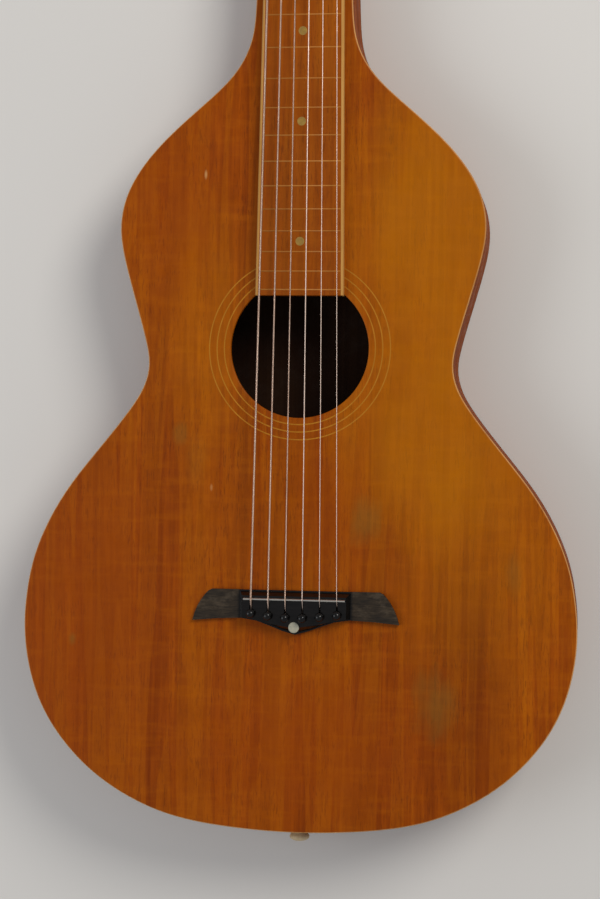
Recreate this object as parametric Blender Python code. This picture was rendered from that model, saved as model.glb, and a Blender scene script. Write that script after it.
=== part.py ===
# Hollow-neck lap guitar: six strings, wooden body whose sides run on as a hollow neck.
# Run with: blender --background --python part.py
#
# The guitar is modelled in its own frame: x to the treble side, y from the tail towards the
# head, z out of the soundboard, whose outer face is z = 0 and whose tail edge is y = 0.
# The body is deeper at the tail than at the nut, so at the end the whole assembly is turned
# by that taper: the flat back then lies on z = 0 of the world, strings upwards.

import math

import bpy
import bmesh
import numpy as np
from mathutils import Matrix, Vector
from mathutils.geometry import tessellate_polygon

MM = 0.001

# ---------------------------------------------------------------- driving dimensions, in mm
SCALE_LENGTH = 635.0  # nut to saddle
SADDLE_Y = 160.4
NUT_Y = SADDLE_Y + SCALE_LENGTH + 0.6  # head-side end of the body and of the fingerboard
GLUE = 0.25  # gap left at every glued or resting joint
STATIONS = 46  # points along each half of the body outline

DEPTH_TAIL = 74.0  # outer depth of the body, at the tail and at the nut
DEPTH_NUT = 42.0
PLATE_T = 2.6  # soundboard and back
RIB_T = 2.4  # bent sides
LINING_W = 6.0
LINING_H = 12.0

HOLE_Y = 332.4  # soundhole centre
HOLE_R = 47.7

FB_END_Y = 368.3  # fingerboard, from over the soundhole edge to the nut
FB_HALF_END = 30.4
FB_HALF_NUT = 25.2
FB_T = 5.5
BINDING_W = 1.5

NUT_T = 5.0
NUT_FROM = NUT_Y + GLUE  # tail side of the nut
STRING_Z_NUT = 11.9  # underside of the strings at the nut and at the saddle
STRING_Z_SADDLE = 11.2
STRING_HALF_NUT = 20.75
STRING_HALF_SADDLE = 29.5
STRING_D = [1.42, 1.17, 0.92, 0.75, 0.55, 0.48]  # bass to treble

WING_T = 3.2  # bridge
BRIDGE_H = 9.5
PIN_BACK = [9.7, 11.1, 12.2, 12.2, 11.1, 9.7]  # pins behind the saddle, in a shallow arc
PIN_HOLE_R = 2.9
PIN_R = 2.3
PIN_HEAD_R = 3.1
PIN_LENGTH = 21.0

HEAD_ANGLE = 4.0  # degrees, headstock against the soundboard
HEAD_T = 14.0
HEAD_START = 6.2  # from the body's end to where the headstock tips back
HEAD_LENGTH = 162.0
HEEL_END = 25.0  # along the headstock, where the deep heel has run out into its plain thickness
CROWN = 139.0  # where the headstock's arched end begins
POST_H = [39.0, 74.0, 109.0]  # tuner posts along the headstock
POST_R = 3.0
POST_EDGE = 11.0  # posts in from the headstock's edge
POST_TOP = 13.0

TEETH = 14  # tuner gear
WORM_PITCH = 2.356
WORM_R = 2.4  # pitch radius
THREAD = 0.85  # thread and tooth width on the pitch line
PLATE_METAL_T = 1.2

END_PIN_Z = -36.0
END_PIN_HEAD_R = 7.0
END_PIN_R = 4.0

# Template of half the body, tail to nut: half width and distance from the tail.
TEMPLATE = [
    (0, 0), (47, 2.4), (94, 11.4), (139, 35), (168.3, 65), (184, 95), (191.3, 131), (190, 163), (182.6, 194),
    (164.3, 230), (141.5, 260), (118, 290), (108.4, 306.5), (105.4, 320.5), (107.6, 336), (115.7, 365),
    (123.9, 395), (126.6, 416), (121.7, 440), (101.7, 470), (69.8, 500), (47.6, 522), (37, 542.5), (33.7, 566),
    (32.0, 640), (28.2, NUT_Y),
]

TAPER = math.atan2(DEPTH_TAIL - DEPTH_NUT, NUT_Y)

# ---------------------------------------------------------------- scene and materials
for old in list(bpy.data.objects):
    bpy.data.objects.remove(old, do_unlink=True)

scene = bpy.context.scene


def material(name, colour, roughness, metallic=0.0):
    m = bpy.data.materials.new(name)
    m.use_nodes = True
    shader = m.node_tree.nodes["Principled BSDF"]
    shader.inputs["Base Color"].default_value = (*colour, 1.0)
    shader.inputs["Roughness"].default_value = roughness
    shader.inputs["Metallic"].default_value = metallic
    m.diffuse_color = (*colour, 1.0)
    return m


KOA_TOP = material("koa_top", (0.36, 0.115, 0.012), 0.32)
KOA_RIB = material("koa_back_and_sides", (0.22, 0.060, 0.012), 0.32)
KOA_HEAD = material("koa_headstock", (0.26, 0.075, 0.014), 0.34)
KOA_BOARD = material("koa_fingerboard", (0.27, 0.072, 0.012), 0.38)
SPRUCE = material("spruce_brace", (0.62, 0.43, 0.22), 0.7)
CEDAR = material("cedar_lining", (0.42, 0.22, 0.10), 0.75)
MAHOGANY = material("mahogany_block", (0.30, 0.11, 0.045), 0.7)
MAPLE = material("maple_plate", (0.66, 0.47, 0.27), 0.6)
PALE_WOOD = material("pale_wood_binding", (0.62, 0.36, 0.13), 0.4)
BONE = material("bone", (0.72, 0.64, 0.47), 0.35)
EBONISED = material("ebonised_wood", (0.012, 0.010, 0.009), 0.18)
NICKEL_SILVER = material("nickel_silver", (0.56, 0.55, 0.50), 0.3, 1.0)
BLACK_PIN = material("black_pin", (0.008, 0.008, 0.009), 0.12)
STEEL_WIRE = material("plain_steel_string", (0.66, 0.66, 0.65), 0.28, 1.0)
BRONZE_WIRE = material("bronze_wound_string", (0.72, 0.45, 0.27), 0.35, 1.0)
BRASS = material("aged_brass", (0.55, 0.40, 0.17), 0.38, 1.0)
NICKEL = material("nickel_plate", (0.53, 0.51, 0.46), 0.32, 1.0)
STEEL = material("steel_shaft", (0.50, 0.49, 0.47), 0.35, 1.0)
BUTTON = material("cream_button", (0.70, 0.60, 0.40), 0.25)
PEARL = material("pearl_dot", (0.52, 0.50, 0.42), 0.2)
BOXWOOD = material("boxwood_pin", (0.42, 0.29, 0.13), 0.4)

guitar = bpy.data.objects.new("guitar_frame", None)
scene.collection.objects.link(guitar)


def empty(name, parent, matrix):
    """An empty placed by a matrix in its parent's frame."""
    e = bpy.data.objects.new(name, None)
    scene.collection.objects.link(e)
    e.parent = parent
    e.matrix_basis = matrix
    return e


def solid(name, verts, faces, mat, parent=None, smooth=None):
    """One closed mesh object. Points are in mm, in the parent's frame."""
    mesh = bpy.data.meshes.new(name)
    mesh.from_pydata([Vector(v) * MM for v in verts], [], [list(f) for f in faces])
    bm = bmesh.new()
    bm.from_mesh(mesh)
    bmesh.ops.remove_doubles(bm, verts=bm.verts, dist=1e-7)
    bmesh.ops.recalc_face_normals(bm, faces=bm.faces)
    bm.to_mesh(mesh)
    bm.free()
    mesh.materials.append(mat)
    if smooth:
        mesh.shade_smooth()
        mesh.set_sharp_from_angle(angle=math.radians(smooth))
    obj = bpy.data.objects.new(name, mesh)
    scene.collection.objects.link(obj)
    obj.parent = parent or guitar
    return obj


def prism(name, loops, low, high, mat, parent=None, smooth=None):
    """A polygon with holes, raised from low(x, y) to high(x, y). The first loop is the outside."""
    points = [p for loop in loops for p in loop]
    n = len(points)
    triangles = tessellate_polygon([[Vector((x, y, 0)) for x, y in loop] for loop in loops])
    verts = [(x, y, low(x, y)) for x, y in points] + [(x, y, high(x, y)) for x, y in points]
    faces = [tuple(t) for t in triangles] + [tuple(i + n for i in reversed(t)) for t in triangles]
    start = 0
    for loop in loops:
        m = len(loop)
        for i in range(m):
            a, b = start + i, start + (i + 1) % m
            faces.append((a, b, b + n, a + n))
        start += m
    return solid(name, verts, faces, mat, parent, smooth)


def sweep(name, sections, mat, parent=None, smooth=None):
    """Closed rings of equally many points, joined one to the next and capped at both ends."""
    k = len(sections[0])
    verts = [p for ring in sections for p in ring]
    faces = [tuple(range(k)), tuple(len(verts) - k + i for i in reversed(range(k)))]
    for s in range(len(sections) - 1):
        for i in range(k):
            a, b = s * k + i, s * k + (i + 1) % k
            faces.append((a, b, b + k, a + k))
    return solid(name, verts, faces, mat, parent, smooth)


def turned(name, profile, mat, parent=None, sides=16, smooth=40):
    """A round piece about its frame's z: profile is (radius, z) from the bottom to the top."""
    rings = [
        [(r * math.cos(2 * math.pi * i / sides), r * math.sin(2 * math.pi * i / sides), z) for i in range(sides)]
        for r, z in profile
    ]
    return sweep(name, rings, mat, parent, smooth)


def circle(cx, cy, r, sides):
    return [(cx + r * math.cos(2 * math.pi * i / sides), cy + r * math.sin(2 * math.pi * i / sides)) for i in range(sides)]


def cutter(obj):
    obj.hide_render = True
    obj.display_type = "WIRE"
    return obj


def boolean(obj, other, operation="DIFFERENCE"):
    m = obj.modifiers.new(operation.lower(), "BOOLEAN")
    m.operation = operation
    m.object = other
    m.solver = "EXACT"
    cutter(other)
    return obj


def plus(value):
    return lambda x, y: value


# ---------------------------------------------------------------- body outline
class Outline:
    """A smooth curve through the template's points, as wide as the body at each place."""

    def __init__(self, points, end_direction):
        p = np.array(points, float)
        t = np.concatenate([[0], np.cumsum(np.sqrt(np.linalg.norm(np.diff(p, axis=0), axis=1)))])
        n = len(p)
        h = np.diff(t)
        a = np.zeros((n, n))
        b = np.zeros((n, 2))
        a[0, 0], b[0] = 1, (1.0, 0.0)  # square to the centre line at the tail
        a[-1, -1], b[-1] = 1, end_direction
        b[0] *= np.linalg.norm(p[1] - p[0]) / h[0]
        b[-1] *= np.linalg.norm(p[-1] - p[-2]) / h[-1] / np.linalg.norm(end_direction)
        for i in range(1, n - 1):
            a[i, i - 1], a[i, i], a[i, i + 1] = h[i], 2 * (h[i - 1] + h[i]), h[i - 1]
            b[i] = 3 * (h[i] * (p[i] - p[i - 1]) / h[i - 1] + h[i - 1] * (p[i + 1] - p[i]) / h[i])
        self.p, self.t, self.h, self.m = p, t, h, np.linalg.solve(a, b)
        fine = np.linspace(0, t[-1], 2400)
        line = np.array([self.at(v) for v in fine])
        self.length = np.concatenate([[0], np.cumsum(np.linalg.norm(np.diff(line, axis=0), axis=1))])
        self.fine, self.line = fine, line
        # Stations shared by the plates, sides and linings, closer together where the curve is tighter.
        turn = np.unwrap(np.arctan2(*np.gradient(line, axis=0).T[::-1]))
        curvature = np.abs(np.gradient(turn) / np.gradient(self.length))
        effort = np.concatenate([[0], np.cumsum(np.sqrt(curvature[1:] + 0.0006) * np.diff(self.length))])
        self.stations = [float(v) for v in np.interp(np.linspace(0, effort[-1], STATIONS), effort, self.length)]

    def at(self, v):
        i = int(min(max(np.searchsorted(self.t, v) - 1, 0), len(self.h) - 1))
        h, s = self.h[i], (v - self.t[i]) / self.h[i]
        return (
            self.p[i] * (1 + 2 * s) * (1 - s) ** 2
            + self.m[i] * h * s * (1 - s) ** 2
            + self.p[i + 1] * s * s * (3 - 2 * s)
            + self.m[i + 1] * h * s * s * (s - 1)
        )

    def half_width(self, y):
        return float(np.interp(y, self.line[:, 1], self.line[:, 0]))

    def walk(self, start, end, inset=0.0):
        """Points from one arc length to another, by the stations, moved in towards the inside of the body."""
        out = []
        for d in [start] + [v for v in self.stations if start + 0.5 < v < end - 0.5] + [end]:
            v = float(np.interp(d, self.length, self.fine))
            a, b = self.at(max(v - 0.02, 0)), self.at(min(v + 0.02, self.t[-1]))
            tangent = (b - a) / np.linalg.norm(b - a)
            inward = np.array([-tangent[1], tangent[0]])
            p = self.at(v) + inward * inset
            out.append((float(p[0]), float(p[1])))
        return out

    def length_at(self, y=None, x=None):
        """Arc length from the tail to where the curve first reaches this y or, near the tail, this x."""
        values = self.line[:, 1] if y is not None else self.line[:, 0]
        return float(self.length[np.argmax(values >= (y if y is not None else x))])


body = Outline(TEMPLATE, (28.2 - 32.0, NUT_Y - 640.0))
TOTAL = float(body.length[-1])


def back_z(y):
    """Outer face of the back."""
    return -(DEPTH_TAIL - (DEPTH_TAIL - DEPTH_NUT) * y / NUT_Y)


def plate_loop():
    right = body.walk(0, TOTAL)
    return right + [(-x, y) for x, y in reversed(right[1:])]


def string_x(i, y):
    """Sideways place of string i, 0 on the bass side, at a distance from the tail."""
    share = (y - SADDLE_Y) / SCALE_LENGTH
    half = STRING_HALF_SADDLE + (STRING_HALF_NUT - STRING_HALF_SADDLE) * share
    return -half + 2 * half * i / 5


pin_places = [(string_x(i, SADDLE_Y - PIN_BACK[i]), SADDLE_Y - PIN_BACK[i]) for i in range(6)]
pin_holes = [circle(x, y, PIN_HOLE_R, 12) for x, y in pin_places]

# ---------------------------------------------------------------- frames of the headstock, in mm
TILT = math.radians(HEAD_ANGLE)
HEAD_FRAME = Matrix.Translation((0, NUT_Y + HEAD_START, 0)) @ Matrix.Rotation(-TILT, 4, "X")
EDGE_SLOPE = 3.0 / 130  # the headstock widens towards its end


def head_half(h):
    """Half width of the headstock: shoulders just past the nut, a slight flare, an arched crown."""
    if h < 0:
        return FB_HALF_NUT + 3.0
    if h < 16:
        s = h / 16
        return (FB_HALF_NUT + 3.0) + (34.6 - FB_HALF_NUT - 3.0) * s * s * (3 - 2 * s)
    flare = 34.6 + EDGE_SLOPE * (h - 16)
    if h <= CROWN:
        return flare
    s = (h - CROWN) / (HEAD_LENGTH - CROWN)
    return flare * math.sqrt(max(1 - 0.93 * s * s, 0.0))


# The tuners stand in a row along each flared edge, so each side has its own frame: y along the
# edge towards the crown, z out of the headstock's face, its origin on the first post.
STRIP = {
    side: Matrix.Translation((side * (head_half(POST_H[0]) - POST_EDGE), POST_H[0], 0))
    @ Matrix.Rotation(-side * math.atan(EDGE_SLOPE), 4, "Z")
    for side in (-1, 1)
}
WORDS = {-1: "bass", 1: "treble"}
# String number to its tuner: side of the headstock and place in the row from the nut.
TUNERS = {1: (-1, 0), 2: (-1, 1), 3: (-1, 2), 4: (1, 2), 5: (1, 1), 6: (1, 0)}


def tuner_place(number):
    """Where a string's post stands, in its strip's frame."""
    return POST_H[TUNERS[number][1]] - POST_H[0]


def frame_object(name, parent, matrix):
    """An empty set by a matrix in mm."""
    scaled = matrix.copy()
    scaled.translation = matrix.translation * MM
    return empty(name, parent, scaled)


# ---------------------------------------------------------------- the way each string runs
UNDER = -PLATE_T - GLUE  # top of whatever is glued under the soundboard
BRIDGE_PLATE_T = 2.6
SADDLE_CROWN = 1.3
COIL_TURNS = 2.1
COIL_STEPS = 8
COIL_START = 9.4  # first turn above the headstock's face
POST_WAIST = 2.6


def string_points(i):
    """Centre line and radius along string i: ball, pin hole, saddle, nut, then round its post."""
    number, r = i + 1, STRING_D[i] / 2
    px, py = pin_places[i]
    hold = py + PIN_HOLE_R - GLUE - STRING_D[0] / 2  # against the front of the pin hole
    ball = UNDER - BRIDGE_PLATE_T - 3.85
    points = [
        (px, py + 3.3, ball - 1.8, 0.9),
        (px, py + 3.3, ball - 1.2, 1.7),
        (px, py + 3.3, ball, 2.05),
        (px, py + 3.3, ball + 1.2, 1.75),
        (px, py + 3.3, ball + 2.0, max(r, 0.6)),
        (px, hold, UNDER - BRIDGE_PLATE_T - 0.55, r),
        (px, hold, 6.0, r),
        (px, hold + 0.35, 6.75, r),
    ]
    sx, nx = string_x(i, SADDLE_Y), string_x(i, NUT_Y)
    over = BRIDGE_H + SADDLE_CROWN + GLUE + r
    points += [(sx, SADDLE_Y - 0.9, over - 0.3, r), (sx, SADDLE_Y + 0.2, over, r)]
    points += [(nx, NUT_FROM + 0.4, STRING_Z_NUT + r, r), (nx, NUT_FROM + 1.6, STRING_Z_NUT + r - 0.1, r)]
    side = TUNERS[number][0]
    local = HEAD_FRAME @ STRIP[side]
    post = local @ Vector((0, tuner_place(number), 0))
    z_axis = (local.to_3x3() @ Vector((0, 0, 1))).normalized()
    x_axis = Vector((1, 0, 0))
    y_axis = z_axis.cross(x_axis)
    wind = POST_WAIST + r + GLUE
    back = Vector((nx - post.x, NUT_FROM + 1.6 - post.y))
    touch = math.atan2(back.y, back.x) - side * math.acos(wind / back.length)
    for s in range(int(COIL_TURNS * COIL_STEPS) + 1):
        a = touch - side * 2 * math.pi * s / COIL_STEPS
        sink = (STRING_D[i] + 0.3) * s / COIL_STEPS
        p = post + (x_axis * math.cos(a) + y_axis * math.sin(a)) * wind + z_axis * (COIL_START - sink)
        points.append((*p, r))
    return points


STRINGS = [string_points(i) for i in range(6)]


def at_y(line, first, y):
    """Centre of a string's straight run after point number first, where it passes a given y."""
    a, b = line[first], line[first + 1]
    s = (y - a[1]) / (b[1] - a[1])
    return a[0] + (b[0] - a[0]) * s, a[2] + (b[2] - a[2]) * s


# ---------------------------------------------------------------- plates
prism(
    "soundboard",
    [plate_loop(), circle(0, HOLE_Y, HOLE_R, 40)] + pin_holes,
    plus(-PLATE_T),
    plus(0.0),
    KOA_TOP,
)
prism(
    "back_plate",
    [plate_loop()],
    lambda x, y: back_z(y),
    lambda x, y: back_z(y) + PLATE_T,
    KOA_RIB,
)

# ---------------------------------------------------------------- bent sides, each from the tail to the nut
RIB_TOP = -PLATE_T - GLUE


def rib_floor(x, y):
    return back_z(y) + PLATE_T + GLUE


def band(name, side, start, end, out, inner, low, high, mat):
    outer = body.walk(start, end, out)
    inside = body.walk(start, end, inner)
    loop = [(side * x, y) for x, y in outer] + [(side * x, y) for x, y in reversed(inside)]
    if side < 0:
        loop.reverse()
    return prism(name, [loop], low, high, mat)


pin_tunnel = Matrix.Translation(Vector((0, -20, END_PIN_Z)) * MM) @ Matrix.Rotation(-math.pi / 2, 4, "X")
tail_cut = turned("cut_end_pin_hole", [(END_PIN_R + GLUE, 0), (END_PIN_R + GLUE, 60)], BOXWOOD, sides=20)
tail_cut.matrix_basis = pin_tunnel

for side, word in ((-1, "bass"), (1, "treble")):
    rib = band("side_" + word, side, 0.15, TOTAL, 0.0, RIB_T, rib_floor, plus(RIB_TOP), KOA_RIB)
    boolean(rib, tail_cut)

# ---------------------------------------------------------------- blocks
BLOCK_HALF = 32.0
BLOCK_IN = 20.0
inset = RIB_T + GLUE
start_arc = body.length_at(x=BLOCK_HALF)
front = body.walk(0, start_arc, inset)
loop = [(-x, y) for x, y in reversed(front[1:])] + front
loop += [(front[-1][0], BLOCK_IN), (-front[-1][0], BLOCK_IN)]
tail_block = prism(
    "tail_block",
    [loop],
    lambda x, y: rib_floor(x, y),
    plus(RIB_TOP),
    MAHOGANY,
)
boolean(tail_block, tail_cut)

NECK_BLOCK_Y = 748.0
edge = [(body.half_width(y) - inset, y) for y in (NECK_BLOCK_Y, NUT_Y)]
prism(
    "neck_block",
    [[edge[0], edge[1], (-edge[1][0], edge[1][1]), (-edge[0][0], edge[0][1])]],
    lambda x, y: rib_floor(x, y),
    plus(RIB_TOP),
    MAHOGANY,
)

# ---------------------------------------------------------------- linings: four tapered strips glued inside the sides
lining_start = body.length_at(x=BLOCK_HALF + 3)
lining_end = body.length_at(y=NECK_BLOCK_Y - 2)
for side, word in ((-1, "bass"), (1, "treble")):
    outer = body.walk(lining_start, lining_end, inset)
    inner = body.walk(lining_start, lining_end, inset + LINING_W)
    top, bottom = [], []
    for (ox, oy), (ix, iy) in zip(outer, inner):
        ox, ix = side * ox, side * ix
        top.append([(ox, oy, RIB_TOP), (ix, iy, RIB_TOP), (ix, iy, RIB_TOP - 4), (ox, oy, RIB_TOP - LINING_H)])
        bottom.append(
            [
                (ox, oy, rib_floor(ox, oy)),
                (ix, iy, rib_floor(ix, iy)),
                (ix, iy, rib_floor(ix, iy) + 4),
                (ox, oy, rib_floor(ox, oy) + LINING_H),
            ]
        )
    sweep("lining_top_" + word, top, CEDAR)
    sweep("lining_back_" + word, bottom, CEDAR)

# ---------------------------------------------------------------- braces under the soundboard
BRACE_W = 8.0
BRACE_H = 12.0


def brace_profile(length, height, tip=3.0, taper=46.0):
    """Side view of a bar: distance along it and how far it hangs; full in the middle, thin at both ends."""
    return [(0, tip), (taper, height), (length - taper, height), (length, tip)]


def bar(name, a, b, height, mat, notch=None, width=BRACE_W, hang=-1, face=lambda y: UNDER, taper=46.0):
    """A straight bar from a to b against a plate. notch is (centre along it, width, from, to) as shares of its height."""
    a, b = Vector((*a, 0)), Vector((*b, 0))
    along = (b - a).normalized()
    across = Vector((-along.y, along.x, 0))
    length = (b - a).length
    line = brace_profile(length, height, taper=taper)
    upper = [(0, 0), (length, 0)]
    lower = list(reversed(line))
    if notch and notch[2] == 0:  # open towards the plate
        c, w, _, depth = notch
        upper = [(0, 0), (c - w / 2, 0), (c - w / 2, depth), (c + w / 2, depth), (c + w / 2, 0), (length, 0)]
    if notch and notch[2] > 0:  # open away from the plate
        c, w, start, _ = notch
        lower = [line[3], line[2], (c + w / 2, height), (c + w / 2, start), (c - w / 2, start), (c - w / 2, height), line[1], line[0]]
    loop = upper + lower
    frame = Matrix((
        (along.x, 0, across.x, a.x * MM),
        (along.y, 0, across.y, a.y * MM),
        (0, 1, 0, 0),
        (0, 0, 0, 1),
    ))
    n = len(loop)
    triangles = tessellate_polygon([[Vector((u, v, 0)) for u, v in loop]])
    verts = []
    for w in (-width / 2, width / 2):
        for u, v in loop:
            p = a + along * u + across * w
            verts.append((p.x, p.y, face(p.y) + hang * v))
    faces = [tuple(t) for t in triangles] + [tuple(i + n for i in reversed(t)) for t in triangles]
    faces += [(i, (i + 1) % n, (i + 1) % n + n, i + n) for i in range(n)]
    return solid(name, verts, faces, mat)


X_CROSS = 238.0
X_SLOPE = 0.86
clear = inset + LINING_W + 1.2


def inner_half(y):
    return body.half_width(y) - clear


def leg_end(direction):
    """Where a brace leg from the crossing meets the lining: direction +1 towards the head, -1 towards the tail."""
    x = 20.0
    while x < inner_half(X_CROSS + direction * X_SLOPE * x) - 5.5 and x < 170:
        x += 0.5
    return x, X_CROSS + direction * X_SLOPE * x


up, down = leg_end(1), leg_end(-1)
cross_from_low = math.hypot(down[0], X_CROSS - down[1])
lap = BRACE_W / math.sin(2 * math.atan(X_SLOPE)) + 2 * GLUE + BRACE_W * 0.35
bar("x_brace_lower_bass", (-down[0], down[1]), up, BRACE_H, SPRUCE, (cross_from_low, lap, BRACE_H / 2 + GLUE / 2, BRACE_H))
bar("x_brace_lower_treble", (down[0], down[1]), (-up[0], up[1]), BRACE_H, SPRUCE, (cross_from_low, lap, 0, BRACE_H / 2 + GLUE / 2))
bar("tone_bar", (-96, 92), (96, 108), 9.0, SPRUCE)
bar("upper_face_brace", (-inner_half(397) + 4, 397), (inner_half(397) - 4, 397), 11.0, SPRUCE)

prism(
    "bridge_plate",
    [[(-66, 133), (66, 133), (66, 167), (-66, 167)]] + pin_holes,
    plus(UNDER - BRIDGE_PLATE_T),
    plus(UNDER),
    MAPLE,
)

# ---------------------------------------------------------------- braces on the back
for i, (y, w) in enumerate(((105, 10.0), (232, 10.0), (405, 10.0)), 1):
    half = min(inner_half(y - 6), inner_half(y + 6)) - 1
    bar(f"back_brace_{i}", (-half, y), (half, y), 10.0, SPRUCE, width=w, hang=1, face=lambda q: rib_floor(0, q))

# ---------------------------------------------------------------- fingerboard, its edge strips and the nut
fb_low, fb_high = plus(GLUE), plus(GLUE + FB_T)


def fb_half(y):
    return FB_HALF_END + (FB_HALF_NUT - FB_HALF_END) * (y - FB_END_Y) / (NUT_Y - FB_END_Y)


core = BINDING_W + GLUE
prism(
    "fingerboard",
    [[(-fb_half(FB_END_Y) + core, FB_END_Y), (fb_half(FB_END_Y) - core, FB_END_Y), (fb_half(NUT_Y) - core, NUT_Y), (-fb_half(NUT_Y) + core, NUT_Y)]],
    fb_low,
    fb_high,
    KOA_BOARD,
)
for side, word in ((-1, "bass"), (1, "treble")):
    loop = [
        (side * (fb_half(FB_END_Y) - BINDING_W), FB_END_Y),
        (side * fb_half(FB_END_Y), FB_END_Y),
        (side * fb_half(NUT_Y), NUT_Y),
        (side * (fb_half(NUT_Y) - BINDING_W), NUT_Y),
    ]
    prism("fingerboard_edging_" + word, [loop], fb_low, fb_high, PALE_WOOD)

profile = [(0, GLUE), (NUT_T, GLUE), (NUT_T, 9.6), (3.4, 12.3), (1.0, 12.9), (0, 12.6)]
nut = sweep(
    "nut",
    [[(x, NUT_FROM + u, z) for u, z in profile] for x in (-FB_HALF_NUT, FB_HALF_NUT)],
    BONE,
)


def channels(name, rows, mat):
    """A cutter of one open-topped channel per row; a row is a list of (x, y, floor, half width)."""
    verts, faces = [], []
    for row in rows:
        base = len(verts)
        for x, y, floor, w in row:
            verts += [(x - w, y, floor), (x + w, y, floor), (x + w, y, 18.0), (x - w, y, 18.0)]
        for s in range(0, 4 * (len(row) - 1), 4):
            faces += [tuple(base + s + q for q in (k, (k + 1) % 4, (k + 1) % 4 + 4, k + 4)) for k in range(4)]
        faces += [tuple(base + k for k in range(4)), tuple(base + 4 * (len(row) - 1) + k for k in reversed(range(4)))]
    return solid(name, verts, faces, mat)


rows = []
for i, line in enumerate(STRINGS):
    room = STRING_D[i] / 2 + GLUE
    row = []
    for y, first in ((NUT_FROM - 2, 9), (NUT_FROM + 1.0, 10), (NUT_FROM + NUT_T + 2, 11)):
        x, z = at_y(line, first, y)
        row.append((x, y, z - room - 0.05, room + 0.05))
    rows.append(row)
boolean(nut, channels("cut_nut_slots", rows, BONE))

# ---------------------------------------------------------------- bridge
half_wing = [(0, 136.2), (9, 138.7), (18, 142.1), (27, 145.3), (38, 146.9), (54, 146.2), (71.5, 144.6), (70.0, 149.8), (68.0, 154.5), (65.5, 158.9), (62.6, 162.9), (60.4, 165.2), (58.0, 166.4)]
wing_loop = half_wing + [(-x, y) for x, y in reversed(half_wing[1:])]
bridge = prism("bridge", [wing_loop], plus(GLUE), plus(WING_T), EBONISED)
base_loop = [(0, 136.9), (9, 139.3), (18, 142.7), (27, 145.9), (38.5, 147.6), (38.5, 165.8)]
crest_loop = [(0, 141.2), (7.5, 142.3), (16.5, 143.9), (25.5, 145.9), (35.8, 147.9), (35.8, 162.8)]


def both_sides(loop):
    return loop + [(-x, y) for x, y in reversed(loop) if x > 0]


block = sweep(
    "add_bridge_block",
    [[(x, y, WING_T - 1.0) for x, y in both_sides(base_loop)], [(x, y, BRIDGE_H) for x, y in both_sides(crest_loop)]],
    EBONISED,
)
boolean(bridge, block, "UNION")

holes = []
faces = []
for x, y in pin_places:  # six round holes
    ring = circle(x, y, PIN_HOLE_R, 12)
    base = len(holes)
    holes += [(u, v, -4) for u, v in ring] + [(u, v, 20) for u, v in ring]
    faces += [tuple(base + k for k in range(12)), tuple(base + 12 + k for k in reversed(range(12)))]
    faces += [(base + k, base + (k + 1) % 12, base + (k + 1) % 12 + 12, base + k + 12) for k in range(12)]
boolean(bridge, solid("cut_pin_holes", holes, faces, EBONISED))

rows = []  # a ramp in front of each hole, where the string climbs to the saddle
for i, line in enumerate(STRINGS):
    start, end = line[7], line[8]
    slope = (end[2] - start[2]) / (end[1] - start[1])
    room = (STRING_D[i] / 2 + GLUE) * math.sqrt(1 + slope * slope) + 0.03
    top = start[1] + (BRIDGE_H + 0.3 + room - start[2]) / slope
    w = STRING_D[i] / 2 + GLUE + 0.1
    row = [(start[0], pin_places[i][1] + 0.6, start[2] - room, w)]
    for y in (start[1], top):
        x, z = at_y(line, 7, y)
        row.append((x, y, z - room, w))
    rows.append(row)
boolean(bridge, channels("cut_string_ramps", rows, EBONISED))

SADDLE_HALF = 35.0
tang = 0.35
slot = prism(
    "cut_saddle_slot",
    [[(-SADDLE_HALF - GLUE, SADDLE_Y - tang - GLUE), (SADDLE_HALF + GLUE, SADDLE_Y - tang - GLUE), (SADDLE_HALF + GLUE, SADDLE_Y + tang + GLUE), (-SADDLE_HALF - GLUE, SADDLE_Y + tang + GLUE)]],
    plus(BRIDGE_H - 2.4),
    plus(20),
    EBONISED,
)
boolean(bridge, slot)

DOT_Y = 141.6
DOT_R = 3.7
dot_cut = turned("cut_dot", [(DOT_R + GLUE, 0), (DOT_R + GLUE, 14)], EBONISED, sides=20)
dot_frame = Matrix.Translation(Vector((0, DOT_Y, 6.4)) * MM)
dot_cut.matrix_basis = dot_frame
boolean(bridge, dot_cut)
dot = turned("bridge_dot", [(DOT_R, 0), (DOT_R, 2.6), (DOT_R - 0.4, 2.9)], PEARL, sides=20, smooth=30)
dot.matrix_basis = Matrix.Translation(Vector((0, DOT_Y, 6.4 + GLUE)) * MM)

crown = [(-tang, -2.1), (tang, -2.1), (tang, GLUE), (0.8, GLUE), (0.8, 0.7), (0.4, SADDLE_CROWN), (-0.4, SADDLE_CROWN), (-0.8, 0.7), (-0.8, GLUE), (-tang, GLUE)]
n = len(crown)
flat = tessellate_polygon([[Vector((u, v, 0)) for u, v in crown]])
verts = [(x, SADDLE_Y + u, BRIDGE_H + v) for x in (-SADDLE_HALF, SADDLE_HALF) for u, v in crown]
faces = [tuple(t) for t in flat] + [tuple(i + n for i in reversed(t)) for t in flat]
faces += [(i, (i + 1) % n, (i + 1) % n + n, i + n) for i in range(n)]
solid("saddle", verts, faces, NICKEL_SILVER)

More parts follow.
